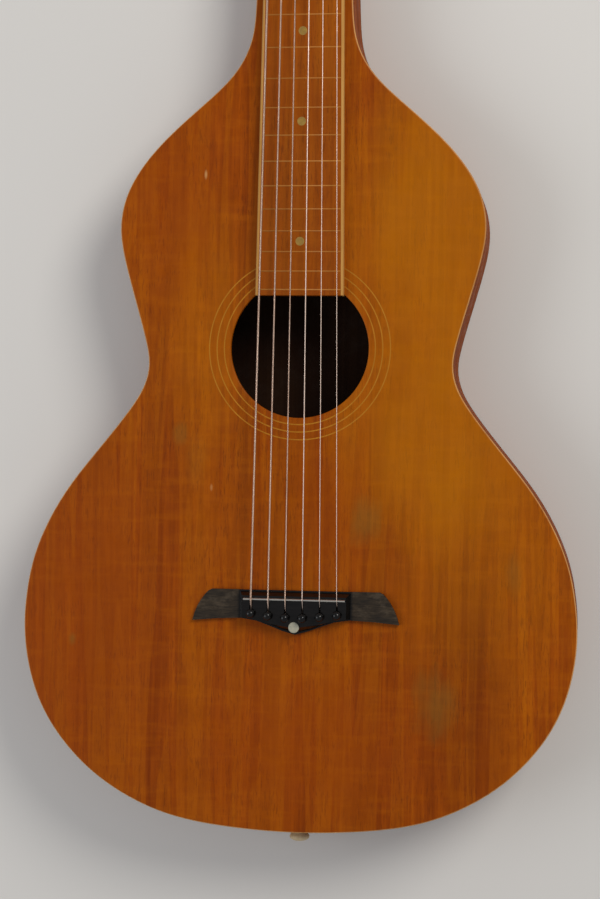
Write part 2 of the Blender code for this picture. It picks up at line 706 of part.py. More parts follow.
# ---------------------------------------------------------------- bridge pins: ball head, collar, tapered shank with a flat for the string
for i, (x, y) in enumerate(pin_places, 1):
    axis = empty(f"axis_bridge_pin_{i}", guitar, Matrix.Translation(Vector((x, y, BRIDGE_H)) * MM))
    pin_profile = [(1.9, -PIN_LENGTH), (PIN_R, -0.4), (PIN_R, 0.35), (2.35, 0.55), (3.0, 1.6), (PIN_HEAD_R, 3.1), (2.75, 4.6), (1.8, 5.7), (0.7, 6.2)]
    rings = []
    for r, z in pin_profile:
        ring = []
        for k in range(12):
            u, v = r * math.cos(2 * math.pi * k / 12), r * math.sin(2 * math.pi * k / 12)
            ring.append((u, min(v, 0.92) if z <= 0.36 else v, z))
        rings.append(ring)
    sweep(f"bridge_pin_{i}", rings, BLACK_PIN, axis, 50)

# ---------------------------------------------------------------- headstock
head = frame_object("headstock_frame", guitar, HEAD_FRAME)


def heel(h):
    """How thick the headstock is: as deep as the hollow neck at the nut, then a curve up to its plain thickness."""
    s = min(max((h + HEAD_START) / (HEEL_END + HEAD_START), 0), 1)
    return HEAD_T + (DEPTH_NUT - 0.5 - HEAD_T) * (1 - s * s * (3 - 2 * s))


stations = [-HEAD_START + GLUE, -3, 0, 3, 6, 9, 12, 15, 18, 21.5, HEEL_END, CROWN]
stations += [CROWN + (HEAD_LENGTH - CROWN) * math.sin(math.radians(a)) for a in (18, 33, 46, 57, 67, 76, 83, 90)]
rings = []
for h in stations:
    y = NUT_Y + HEAD_START + (h if h < 0 else h * math.cos(TILT))
    top = 0.0 if h < 0 else -h * math.sin(TILT)
    w, t = head_half(h), heel(h)
    rings.append([(-w, y, top), (w, y, top), (w, y, top - t), (-w, y, top - t)])
headstock = sweep("headstock", rings, KOA_HEAD)

strip_frames = {side: frame_object("tuner_strip_frame_" + WORDS[side], head, STRIP[side]) for side in (-1, 1)}

verts, faces = [], []
for number, (side, k) in TUNERS.items():
    local = HEAD_FRAME @ STRIP[side]
    base = len(verts)
    for z in (-40.0, 10.0):
        verts += [tuple(local @ Vector((u, v, z))) for u, v in circle(0, tuner_place(number), POST_R + 0.5, 16)]
    faces += [tuple(base + q for q in range(16)), tuple(base + 16 + q for q in reversed(range(16)))]
    faces += [(base + q, base + (q + 1) % 16, base + (q + 1) % 16 + 16, base + q + 16) for q in range(16)]
boolean(headstock, solid("cut_post_holes", verts, faces, KOA_HEAD))

# ---------------------------------------------------------------- tuners
PLATE_Z = -HEAD_T * math.cos(TILT) - GLUE  # upper face of the metal plate, in the strip frame
WORM_CREST = 0.7  # thread height above the pitch line
GEAR_T = 3.0
GEAR_Z = PLATE_Z - PLATE_METAL_T - 0.35 - WORM_R - WORM_CREST  # middle of the gear and the worm
GEAR_R = TEETH * WORM_PITCH / (2 * math.pi)  # pitch radius
CENTRES = GEAR_R + WORM_R
LEAD = math.atan2(WORM_PITCH, 2 * math.pi * WORM_R)
SHAFT_R = 1.2
LUG_X = 6.2
LUG_T = 1.2
FLANK = math.tan(math.radians(20))


def box_points(x0, x1, y0, y1, z0, z1):
    return [(x0, y0, z0), (x1, y0, z0), (x1, y1, z0), (x0, y1, z0), (x0, y0, z1), (x1, y0, z1), (x1, y1, z1), (x0, y1, z1)]


BOX_FACES = [(0, 3, 2, 1), (4, 5, 6, 7), (0, 1, 5, 4), (1, 2, 6, 5), (2, 3, 7, 6), (3, 0, 4, 7)]
SPAN = POST_H[2] - POST_H[0]

for side, strip in strip_frames.items():
    word = WORDS[side]
    places = [h - POST_H[0] for h in POST_H]
    half = 6.6
    loop = []  # a strip with rounded ends
    for cy, lo, hi in ((-9.0, math.pi, 2 * math.pi), (SPAN + 16.0, 0, math.pi)):
        for q in range(7):
            a = lo + (hi - lo) * q / 6
            loop.append((half * math.cos(a), cy + half * 0.55 * math.sin(a)))
    loops = [loop] + [circle(0, y, POST_R + 0.5, 16) for y in places]
    plate = prism("tuner_plate_" + word, loops, plus(PLATE_Z - PLATE_METAL_T), plus(PLATE_Z), NICKEL, strip)
    verts, faces = [], []
    for y in places:  # two lugs hold each worm shaft
        for x in (-LUG_X, LUG_X):
            base = len(verts)
            verts += box_points(x - LUG_T / 2, x + LUG_T / 2, y + CENTRES - 3.2, y + CENTRES + 3.2, GEAR_Z - 2.9, PLATE_Z - 0.5)
            faces += [tuple(base + q for q in f) for f in BOX_FACES]
    boolean(plate, solid("add_lugs_" + word, verts, faces, NICKEL, strip), "UNION")
    verts, faces = [], []
    for y in places:
        base = len(verts)
        for x in (-9.0, 9.0):
            verts += [(x, y + CENTRES + v, GEAR_Z + z) for v, z in circle(0, 0, SHAFT_R + GLUE + 0.1, 8)]
        faces += [tuple(base + q for q in range(8)), tuple(base + 8 + q for q in reversed(range(8)))]
        faces += [(base + q, base + (q + 1) % 8, base + (q + 1) % 8 + 8, base + q + 8) for q in range(8)]
    boolean(plate, solid("cut_lug_holes_" + word, verts, faces, NICKEL, strip))

# Gear teeth lean with the worm's thread. A gap between two teeth faces the worm.
add, ded = WORM_CREST, WORM_CREST + 0.25
tooth = THREAD / 2 / GEAR_R
points = []
for t in range(TEETH):
    centre = math.pi / 2 + (t + 0.5) * 2 * math.pi / TEETH
    wide, narrow = tooth + ded * FLANK / GEAR_R, tooth - add * FLANK / GEAR_R
    points += [(GEAR_R - ded, centre - wide), (GEAR_R + add, centre - narrow), (GEAR_R + add, centre + narrow), (GEAR_R - ded, centre + wide)]
lean = math.tan(LEAD) / GEAR_R
gear_rings = [
    [(r * math.cos(a + lean * z), r * math.sin(a + lean * z), z) for r, a in points] for z in (-GEAR_T / 2, GEAR_T / 2)
]

for number, (side, k) in TUNERS.items():
    axis = frame_object(f"axis_tuner_post_{number}", strip_frames[side], Matrix.Translation((0, tuner_place(number), GEAR_Z)))
    gear = sweep(f"tuner_post_{number}", gear_rings, BRASS, axis)
    top = POST_TOP - GEAR_Z
    # Screw head under the gear, boss between gear and plate, post with a waist for the string.
    lathe = [
        (2.2, -GEAR_T / 2 - 1.3),
        (2.6, -GEAR_T / 2 - 0.7),
        (2.6, 0),
        (POST_R, 0.6),
        (POST_R, top - 10.5),
        (POST_WAIST, top - 9),
        (POST_WAIST, top - 2.4),
        (POST_R, top - 1.2),
        (POST_R, top - 0.3),
        (2.6, top),
    ]
    boolean(gear, turned(f"add_post_{number}", lathe, BRASS, axis, sides=12), "UNION")

WORM_HALF = LUG_X - LUG_T / 2 - 0.3
SHAFT_FROM, SHAFT_TO = -8.2, 19.0
THREAD_TURNS = 3
BUTTON_RINGS = [
    (12.4, 2.3, 2.3),
    (14.4, 2.5, 2.5),
    (15.2, 4.6, 3.1),
    (16.6, 6.6, 3.7),
    (19.2, 7.8, 4.0),
    (22.2, 7.6, 3.9),
    (24.6, 6.2, 3.3),
    (26.0, 4.0, 2.3),
    (26.6, 1.8, 1.1),
]


def across(x, ry, rz, sides):
    """A ring about the x axis."""
    return [(x, u, v) for u, v in ((ry * math.cos(2 * math.pi * i / sides), rz * math.sin(2 * math.pi * i / sides)) for i in range(sides))]


for number, (side, k) in TUNERS.items():
    # The shaft's own x points outwards: on the bass side the frame is turned half round about y.
    place = Matrix.Translation((0, tuner_place(number) + CENTRES, GEAR_Z))
    if side < 0:
        place = place @ Matrix.Rotation(math.pi, 4, "Y")
    axis = frame_object(f"axis_tuner_shaft_{number}", strip_frames[side], place)

    root, crest = WORM_R - 0.95, WORM_R + WORM_CREST
    lathe = [(SHAFT_R, SHAFT_FROM), (SHAFT_R, -WORM_HALF), (root + 0.15, -WORM_HALF), (root + 0.15, WORM_HALF), (SHAFT_R, WORM_HALF), (SHAFT_R, SHAFT_TO)]
    shaft = sweep(f"tuner_worm_shaft_{number}", [across(x, r, r, 10) for r, x in lathe], STEEL, axis, 40)
    wide, narrow = THREAD / 2 + 0.95 * FLANK, THREAD / 2 - WORM_CREST * FLANK
    per = 8
    rings = []
    for s in range(THREAD_TURNS * per + 1):  # right-handed; the crest at x = 0 faces the gear
        turn = s / per - THREAD_TURNS / 2
        fade = min(1.0, s / 3, (THREAD_TURNS * per - s) / 3)
        c = root + (crest - root) * (0.25 + 0.75 * fade)
        a = math.pi + 2 * math.pi * turn
        rings.append([(WORM_PITCH * turn + dx, r * math.cos(a), r * math.sin(a)) for dx, r in ((-wide, root - 0.1), (-narrow, c), (narrow, c), (wide, root - 0.1))])
    boolean(shaft, sweep(f"add_thread_{number}", rings, STEEL, axis), "UNION")

    # A flattened oval grip with a round collar next to the headstock.
    button = sweep(f"tuner_button_{number}", [across(x, ry, rz, 12) for x, ry, rz in BUTTON_RINGS], BUTTON, axis, 60)
    bore = SHAFT_R + GLUE
    boolean(button, sweep(f"cut_button_bore_{number}", [across(11.0, bore, bore, 10), across(SHAFT_TO + GLUE, bore, bore, 10)], BUTTON, axis))

# ---------------------------------------------------------------- strings
STRING_SIDES = 6
for i, line in enumerate(STRINGS):
    pts = [Vector(p[:3]) for p in line]
    rings = []
    normal = Vector((1, 0, 0))
    for j, p in enumerate(pts):
        tangent = (pts[min(j + 1, len(pts) - 1)] - pts[max(j - 1, 0)]).normalized()
        normal = (normal - tangent * normal.dot(tangent)).normalized()
        other = tangent.cross(normal)
        rings.append([
            tuple(p + (normal * math.cos(2 * math.pi * k / STRING_SIDES) + other * math.sin(2 * math.pi * k / STRING_SIDES)) * line[j][3])
            for k in range(STRING_SIDES)
        ])
    sweep(f"string_{i + 1}", rings, BRONZE_WIRE if i < 3 else STEEL_WIRE, None, 60)

# ---------------------------------------------------------------- end pin, a turned peg pushed into the tail block
end_axis = empty("axis_end_pin", guitar, Matrix.Translation(Vector((0, 0, END_PIN_Z)) * MM) @ Matrix.Rotation(math.pi / 2, 4, "X"))
turned(
    "end_pin",
    [(3.4, -22), (END_PIN_R, 0.2), (END_PIN_R, 0.6), (6.0, 0.7), (6.2, 1.6), (4.6, 3.2), (4.4, 5.0), (5.6, 6.6), (END_PIN_HEAD_R, 8.0), (END_PIN_HEAD_R, 10.0), (6.2, 11.4), (4.4, 12.2)],
    BOXWOOD,
    end_axis,
    sides=16,
)

# ---------------------------------------------------------------- lay the guitar on its back, centred over the origin
guitar.matrix_basis = Matrix.Rotation(-TAPER, 4, "X")
bpy.context.view_layer.update()
low, high = Vector((1e9,) * 3), Vector((-1e9,) * 3)
for obj in scene.objects:
    if obj.type != "MESH" or obj.hide_render:
        continue
    for corner in obj.data.vertices:
        p = obj.matrix_world @ corner.co
        low = Vector(map(min, low, p))
        high = Vector(map(max, high, p))
guitar.matrix_basis = Matrix.Translation((-(low.x + high.x) / 2, -(low.y + high.y) / 2, -low.z)) @ Matrix.Rotation(-TAPER, 4, "X")
bpy.context.view_layer.update()
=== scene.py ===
import math

import bmesh
import bpy
import numpy as np
from mathutils import Matrix, Vector
from mathutils.geometry import tessellate_polygon


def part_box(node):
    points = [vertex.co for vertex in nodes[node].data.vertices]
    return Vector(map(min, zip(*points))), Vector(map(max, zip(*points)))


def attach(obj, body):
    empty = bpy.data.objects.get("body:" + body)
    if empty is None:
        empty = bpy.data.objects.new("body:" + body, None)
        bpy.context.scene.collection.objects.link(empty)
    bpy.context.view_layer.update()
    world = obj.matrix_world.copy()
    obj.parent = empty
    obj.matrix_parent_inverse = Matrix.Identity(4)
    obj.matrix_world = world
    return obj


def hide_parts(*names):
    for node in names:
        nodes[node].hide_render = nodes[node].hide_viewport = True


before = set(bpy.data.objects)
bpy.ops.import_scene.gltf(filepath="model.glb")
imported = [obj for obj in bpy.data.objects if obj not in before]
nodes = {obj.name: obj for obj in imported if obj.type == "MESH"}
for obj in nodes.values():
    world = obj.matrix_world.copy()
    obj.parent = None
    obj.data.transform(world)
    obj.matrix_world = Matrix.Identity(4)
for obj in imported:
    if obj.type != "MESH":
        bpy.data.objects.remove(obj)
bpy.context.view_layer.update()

MM = 0.001

# ---------------------------------------------------------------- dimensions in mm, in the guitar's own frame
SCALE_LENGTH = 635.0
SADDLE_Y = 160.4
NUT_Y = SADDLE_Y + SCALE_LENGTH + 0.6
GLUE = 0.25
DEPTH_TAIL, DEPTH_NUT = 74.0, 42.0
PLATE_T, RIB_T = 2.6, 2.4
HOLE_Y, HOLE_R = 332.4, 47.7
FB_END_Y, FB_HALF_END, FB_HALF_NUT, FB_T = 368.3, 30.4, 25.2, 5.5
BINDING_W = 1.5
NUT_T = 5.0
NUT_FROM = NUT_Y + GLUE
STRING_Z_NUT = 11.9
STRING_HALF_NUT, STRING_HALF_SADDLE = 20.75, 29.5
STRING_D = [1.42, 1.17, 0.92, 0.75, 0.55, 0.48]
WING_T, BRIDGE_H = 3.2, 9.5
PIN_BACK = [9.7, 11.1, 12.2, 12.2, 11.1, 9.7]
PIN_HOLE_R, PIN_R, PIN_HEAD_R, PIN_LENGTH = 2.9, 2.3, 3.1, 21.0
HEAD_ANGLE, HEAD_T, HEAD_START, HEAD_LENGTH = 4.0, 14.0, 6.2, 162.0
HEEL_END, CROWN = 25.0, 139.0
POST_H = [39.0, 74.0, 109.0]
POST_EDGE, POST_R = 11.0, 3.0
END_PIN_Z, END_PIN_HEAD_R, END_PIN_R = -36.0, 7.0, 4.0
SADDLE_CROWN = 1.3
TEMPLATE = [
    (0, 0), (47, 2.4), (94, 11.4), (139, 35), (168.3, 65), (184, 95), (191.3, 131), (190, 163), (182.6, 194),
    (164.3, 230), (141.5, 260), (118, 290), (108.4, 306.5), (105.4, 320.5), (107.6, 336), (115.7, 365),
    (123.9, 395), (126.6, 416), (121.7, 440), (101.7, 470), (69.8, 500), (47.6, 522), (37, 542.5), (33.7, 566),
    (32.0, 640), (28.2, NUT_Y),
]
TAPER = math.atan2(DEPTH_TAIL - DEPTH_NUT, NUT_Y)

# The guitar lies on its back, turned by its own taper. Its tail edge and top fix where that frame is.
top_low, top_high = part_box("soundboard")
TO_WORLD = Matrix.Translation((0, top_high[1] / MM - NUT_Y * math.cos(TAPER), top_high[2] / MM)) @ Matrix.Rotation(-TAPER, 4, "X")
TILT = math.radians(HEAD_ANGLE)
HEAD_FRAME = Matrix.Translation((0, NUT_Y + HEAD_START, 0)) @ Matrix.Rotation(-TILT, 4, "X")
EDGE_SLOPE = 3.0 / 130


# ---------------------------------------------------------------- mesh helpers
def make(name, verts, faces, mat, body="guitar", node=None, slot=None, smooth=35, flat=(), local=None):
    """A mesh from points in the guitar's frame (or a frame inside it). flat lists faces kept flat-shaded."""
    matrix = TO_WORLD @ local if local is not None else TO_WORLD
    mesh = bpy.data.meshes.new(name)
    mesh.from_pydata([(matrix @ Vector(v)) * MM for v in verts], [], [list(f) for f in faces])
    bm = bmesh.new()
    bm.from_mesh(mesh)
    bmesh.ops.recalc_face_normals(bm, faces=bm.faces)
    bm.to_mesh(mesh)
    bm.free()
    mesh.materials.append(mat)
    if smooth:
        mesh.shade_smooth()
        mesh.set_sharp_from_angle(angle=math.radians(smooth))
        for i in flat:
            mesh.polygons[i].use_smooth = False
    obj = bpy.data.objects.new(name, mesh)
    bpy.context.scene.collection.objects.link(obj)
    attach(obj, body)
    if node:
        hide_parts(*([node] if isinstance(node, str) else node))
    return obj


def loft(name, rings, mat, closed=True, **kw):
    k = len(rings[0])
    verts = [p for ring in rings for p in ring]
    faces = []
    for s in range(len(rings) - 1):
        for i in range(k):
            a, b = s * k + i, s * k + (i + 1) % k
            faces.append((a, b, b + k, a + k))
    flat = []
    if closed:
        faces += [tuple(range(k)), tuple(len(verts) - k + i for i in reversed(range(k)))]
        flat = [len(faces) - 2, len(faces) - 1]
    return make(name, verts, faces, mat, flat=flat, **kw)


def circle(cx, cy, r, sides):
    return [(cx + r * math.cos(2 * math.pi * i / sides), cy + r * math.sin(2 * math.pi * i / sides)) for i in range(sides)]


def plate(name, borders, mat, edge=None, inside=None, **kw):
    """A flat board: each border is a list of levels from top to bottom, each level a loop of (x, y, z).
    edge is (material, first level, last level) for a band of the outer border, inside (material, 0 top or 1 bottom)."""
    verts, faces, flat = [], [], []
    marks = {}
    tops, bottoms = [], []
    for levels in borders:
        n = len(levels[0])
        base = len(verts)
        for level in levels:
            verts += level
        for s in range(len(levels) - 1):
            for i in range(n):
                a, b = base + s * n + i, base + s * n + (i + 1) % n
                if edge and base == 0 and edge[1] <= s < edge[2]:
                    marks[len(faces)] = 1
                faces.append((a, b, b + n, a + n))
        tops.append(list(range(base, base + n)))
        bottoms.append(list(range(base + (len(levels) - 1) * n, base + len(levels) * n)))
    for which, loops in enumerate((tops, bottoms)):
        index = [i for loop in loops for i in loop]
        for t in tessellate_polygon([[Vector((verts[i][0], verts[i][1], 0)) for i in loop] for loop in loops]):
            flat.append(len(faces))
            if inside and inside[1] == which:
                marks[len(faces)] = 2
            faces.append(tuple(index[i] for i in t))
    obj = make(name, verts, faces, mat, flat=flat, **kw)
    obj.data.materials.append(edge[0] if edge else mat)
    obj.data.materials.append(inside[0] if inside else mat)
    for face, number in marks.items():
        obj.data.polygons[face].material_index = number
    return obj


class Outline:
    """The body's edge, tail to nut, as a smooth curve through the template's points."""

    def __init__(self, points, end_direction):
        p = np.array(points, float)
        t = np.concatenate([[0], np.cumsum(np.sqrt(np.linalg.norm(np.diff(p, axis=0), axis=1)))])
        n = len(p)
        h = np.diff(t)
        a = np.zeros((n, n))
        b = np.zeros((n, 2))
        a[0, 0], b[0] = 1, (1.0, 0.0)
        a[-1, -1], b[-1] = 1, end_direction
        b[0] *= np.linalg.norm(p[1] - p[0]) / h[0]
        b[-1] *= np.linalg.norm(p[-1] - p[-2]) / h[-1] / np.linalg.norm(end_direction)
        for i in range(1, n - 1):
            a[i, i - 1], a[i, i], a[i, i + 1] = h[i], 2 * (h[i - 1] + h[i]), h[i - 1]
            b[i] = 3 * (h[i] * (p[i] - p[i - 1]) / h[i - 1] + h[i - 1] * (p[i + 1] - p[i]) / h[i])
        self.p, self.t, self.h, self.m = p, t, h, np.linalg.solve(a, b)
        fine = np.linspace(0, t[-1], 2400)
        line = np.array([self.at(v) for v in fine])
        self.length = np.concatenate([[0], np.cumsum(np.linalg.norm(np.diff(line, axis=0), axis=1))])
        self.fine, self.line = fine, line

    def at(self, v):
        i = int(min(max(np.searchsorted(self.t, v) - 1, 0), len(self.h) - 1))
        h, s = self.h[i], (v - self.t[i]) / self.h[i]
        return (
            self.p[i] * (1 + 2 * s) * (1 - s) ** 2
            + self.m[i] * h * s * (1 - s) ** 2
            + self.p[i + 1] * s * s * (3 - 2 * s)
            + self.m[i + 1] * h * s * s * (s - 1)
        )

    def walk(self, start, end, count, inset=0.0):
        out = []
        for d in np.linspace(start, end, count):
            v = float(np.interp(d, self.length, self.fine))
            a, b = self.at(max(v - 0.02, 0)), self.at(min(v + 0.02, self.t[-1]))
            tangent = (b - a) / np.linalg.norm(b - a)
            p = self.at(v) + np.array([-tangent[1], tangent[0]]) * inset
            out.append((float(p[0]), float(p[1])))
        return out


body = Outline(TEMPLATE, (28.2 - 32.0, NUT_Y - 640.0))
TOTAL = float(body.length[-1])


def back_z(y):
    return -(DEPTH_TAIL - (DEPTH_TAIL - DEPTH_NUT) * y / NUT_Y)


def string_x(i, y):
    half = STRING_HALF_SADDLE + (STRING_HALF_NUT - STRING_HALF_SADDLE) * (y - SADDLE_Y) / SCALE_LENGTH
    return -half + 2 * half * i / 5


pin_places = [(string_x(i, SADDLE_Y - PIN_BACK[i]), SADDLE_Y - PIN_BACK[i]) for i in range(6)]


# ---------------------------------------------------------------- materials
class Nodes:
    """A material's node tree, built call by call."""

    def __init__(self, name):
        self.mat = bpy.data.materials.new(name)
        self.mat.use_nodes = True
        self.tree = self.mat.node_tree
        self.bsdf = self.tree.nodes["Principled BSDF"]
        self.coords = self.add("ShaderNodeTexCoord").outputs["Object"]

    def add(self, kind, inputs=(), **settings):
        node = self.tree.nodes.new(kind)
        for key, value in settings.items():
            setattr(node, key, value)
        for key, value in dict(inputs).items():
            self.put(node.inputs[key], value)
        return node

    def put(self, socket, value):
        if isinstance(value, bpy.types.NodeSocket):
            self.tree.links.new(value, socket)
        elif isinstance(value, (tuple, list)) and len(value) == 3 and socket.type == "RGBA":
            socket.default_value = (*value, 1.0)
        else:
            socket.default_value = value

    def mapped(self, scale, location=(0, 0, 0), vector=None):
        return self.add("ShaderNodeMapping", {"Vector": vector or self.coords, "Scale": scale, "Location": location}).outputs[0]

    def noise(self, vector, scale, detail=4.0, rough=0.5, distortion=0.0):
        return self.add(
            "ShaderNodeTexNoise",
            {"Vector": vector, "Scale": scale, "Detail": detail, "Roughness": rough, "Distortion": distortion},
        ).outputs[0]

    def ramp(self, value, *stops):
        node = self.add("ShaderNodeValToRGB", {"Fac": value})
        el = node.color_ramp.elements
        while len(el) < len(stops):
            el.new(0.5)
        for e, (pos, colour) in zip(el, stops):
            e.position = pos
            e.color = (*colour, 1.0) if isinstance(colour, (tuple, list)) else (colour, colour, colour, 1.0)
        return node.outputs[0]

    def mix(self, fac, a, b, blend="MIX"):
        node = self.add("ShaderNodeMix", data_type="RGBA", blend_type=blend)
        self.put(node.inputs[0], fac)
        self.put(node.inputs[6], a)
        self.put(node.inputs[7], b)
        return node.outputs[2]

    def math(self, op, a, b=0.5, clamp=False):
        node = self.add("ShaderNodeMath", operation=op, use_clamp=clamp)
        self.put(node.inputs[0], a)
        self.put(node.inputs[1], b)
        return node.outputs[0]

    def bump(self, height, strength, distance):
        node = self.add("ShaderNodeBump", {"Height": height, "Strength": strength, "Distance": distance})
        self.put(self.bsdf.inputs["Normal"], node.outputs[0])

    def finish(self, colour, rough, **extra):
        self.put(self.bsdf.inputs["Base Color"], colour)
        self.put(self.bsdf.inputs["Roughness"], rough)
        for key, value in extra.items():
            self.put(self.bsdf.inputs[key.replace("_", " ")], value)
        return self.mat


    def patch(self, centre, radii, soft=0.35, broken=0.25):
        """1 near a place on the top (mm in the guitar's frame), falling to 0 at its radii, with an uneven edge."""
        at = TO_WORLD @ Vector((*centre, 0.0))
        local = self.mapped((1000 / radii[0], 1000 / radii[1], 0), (-at.x / radii[0], -at.y / radii[1], 0))
        length = self.add("ShaderNodeVectorMath", {0: local}, operation="LENGTH").outputs[1]
        ragged = self.noise(self.mapped((42, 14, 42)), 1.0, 4.0, 0.6)
        length = self.math("ADD", length, self.math("MULTIPLY", self.math("SUBTRACT", ragged, 0.5), 2 * broken))
        return self.ramp(length, (soft, 1.0), (1.0, 0.0))


def wood(name, dark, mid, light, seed=0.0, grain=1.0, rough=0.36, coat=0.10, pores=0.5, across=False, patches=0.5, tints_and_highlights=(), shine=0.12, wall=False, figure=0.0):
    """Straight-grained wood: growth lines along y, broad colour bands, fine dark pores and a thin varnish."""
    n = Nodes(name)
    where = n.mapped((1, 1, 1), (seed, seed * 0.7, seed * 1.3))
    if across:
        where = n.add("ShaderNodeMapping", {"Vector": where, "Rotation": (0, 0, math.pi / 2)}).outputs[0]
    if wall:  # a bent side: the lines run round it, level with its edges
        where = n.add("ShaderNodeMapping", {"Vector": where, "Rotation": (math.pi / 2, 0, 0)}).outputs[0]
        split = n.add("ShaderNodeSeparateXYZ", {0: where}).outputs
        along = n.math("ADD", split[0], split[2])
        where = n.add("ShaderNodeCombineXYZ", {"X": split[1], "Y": along}).outputs[0]
    sway = n.noise(n.mapped((9, 3.0, 9), vector=where), 1.0, 2.0)
    bent = n.add("ShaderNodeVectorMath", {0: where, 1: n.add("ShaderNodeCombineXYZ", {"X": n.math("MULTIPLY", sway, 0.006)}).outputs[0]}, operation="ADD").outputs[0]
    lines = n.noise(n.mapped((340 * grain, 3.6, 340 * grain), vector=bent), 1.0, 5.0, 0.62)
    bands = n.noise(n.mapped((34, 0.9, 34), vector=bent), 1.0, 3.0, 0.55, 0.4)
    broad = n.noise(n.mapped((6.5, 4.2, 6.5), vector=where), 1.0, 2.0, 0.5)
    tone = n.math("ADD", n.math("MULTIPLY", lines, 0.46), n.math("MULTIPLY", bands, 0.54))
    colour = n.ramp(tone, (0.30, dark), (0.5, mid), (0.70, light))
    colour = n.mix(n.math("MULTIPLY", n.ramp(broad, (0.40, 0.0), (0.62, 1.0)), patches), colour, n.mix(0.55, colour, dark))
    if figure:
        strip = n.noise(n.mapped((75, 0.35, 75), (1.7, 0, 0), vector=bent), 1.0, 1.0, 0.5)
        for k, place in enumerate((0.40, 0.47, 0.545, 0.62)):
            step = n.ramp(strip, (place - 0.006, 0.0), (place + 0.006, 1.0))
            colour = n.mix(n.math("MULTIPLY", step, 0.24 * figure), colour, dark if k % 2 == 0 else light)
        mottle = n.noise(n.mapped((150, 70, 150), (0.3, 0, 0), vector=where), 1.0, 4.0, 0.7)
        colour = n.mix(n.math("MULTIPLY", n.ramp(mottle, (0.42, 0.0), (0.66, 1.0)), 0.40 * figure), colour, n.mix(0.6, colour, dark))
        ripple = n.noise(n.mapped((22, 130, 22), (0.9, 0, 0), vector=where), 1.0, 3.0, 0.6)
        colour = n.mix(n.math("MULTIPLY", n.ramp(ripple, (0.50, 0.0), (0.70, 1.0)), 0.20 * figure), colour, light)
    pore = n.noise(n.mapped((1150, 105, 1150), vector=bent), 1.0, 2.0, 0.6)
    pore = n.ramp(pore, (0.55, 0.0), (0.64, 1.0))
    crowd = n.noise(n.mapped((70, 16, 70), (0.6, 0, 0), vector=bent), 1.0, 3.0, 0.6)
    pore = n.math("MULTIPLY", pore, n.ramp(crowd, (0.40, 0.25), (0.60, 1.0)))
    colour = n.mix(n.math("MULTIPLY", pore, pores), colour, n.mix(0.6, colour, n.mix(0.5, dark, (0.02, 0.006, 0.002))))
    # Colour patches over the wood; on the top the gold ones are partly a painted highlight.
    for centre, radii, tint, amount, broken in tints_and_highlights:
        colour = n.mix(n.math("MULTIPLY", n.patch(centre, radii, broken=broken), amount), colour, n.mix(0.72, colour, tint))
    scuff = n.noise(n.mapped((60, 60, 60), vector=where), 1.0, 6.0, 0.7)
    n.bump(n.math("SUBTRACT", n.math("MULTIPLY", lines, 0.35), n.math("MULTIPLY", pore, 0.5)), 0.25, 0.0002)
    gloss = n.ramp(scuff, (0.35, rough * 0.8), (0.65, rough * 1.35))
    return n.finish(colour, gloss, Coat_Weight=coat, Coat_Roughness=0.22, Specular_IOR_Level=shine)


def metal(name, colour, rough, stain=(0.2, 0.14, 0.07), amount=0.3, streak=(1, 1, 1)):
    n = Nodes(name)
    cloud = n.noise(n.mapped((90, 90, 90)), 1.0, 6.0, 0.65)
    lines = n.noise(n.mapped(tuple(1800 * s for s in streak)), 1.0, 2.0)
    base = n.mix(n.math("MULTIPLY", n.ramp(cloud, (0.48, 0.0), (0.7, 1.0)), amount), colour, stain)
    n.bump(lines, 0.12, 0.00005)
    return n.finish(base, n.ramp(cloud, (0.3, rough * 0.75), (0.7, rough * 1.5)), Metallic=1.0)


def smooth_stuff(name, colour, shade, rough, scale=70.0, coat=0.0, bump=0.05, shine=0.5):
    """Bone, plastic, pearl or paint: a base colour with soft cloudy variation."""
    n = Nodes(name)
    cloud = n.noise(n.mapped((scale,) * 3), 1.0, 5.0, 0.6, 0.6)
    fine = n.noise(n.mapped((scale * 14,) * 3), 1.0, 2.0)
    n.bump(fine, bump, 0.0001)
    return n.finish(n.mix(n.ramp(cloud, (0.35, 0.0), (0.68, 1.0)), colour, shade), n.ramp(cloud, (0.3, rough * 0.8), (0.7, rough * 1.4)), Coat_Weight=coat, Specular_IOR_Level=shine)


GOLD_TONE_AND_HIGHLIGHT, RED, DARK, GREY = (0.42, 0.135, 0.0006), (0.25, 0.040, 0.0003), (0.10, 0.018, 0.0005), (0.18, 0.088, 0.012)
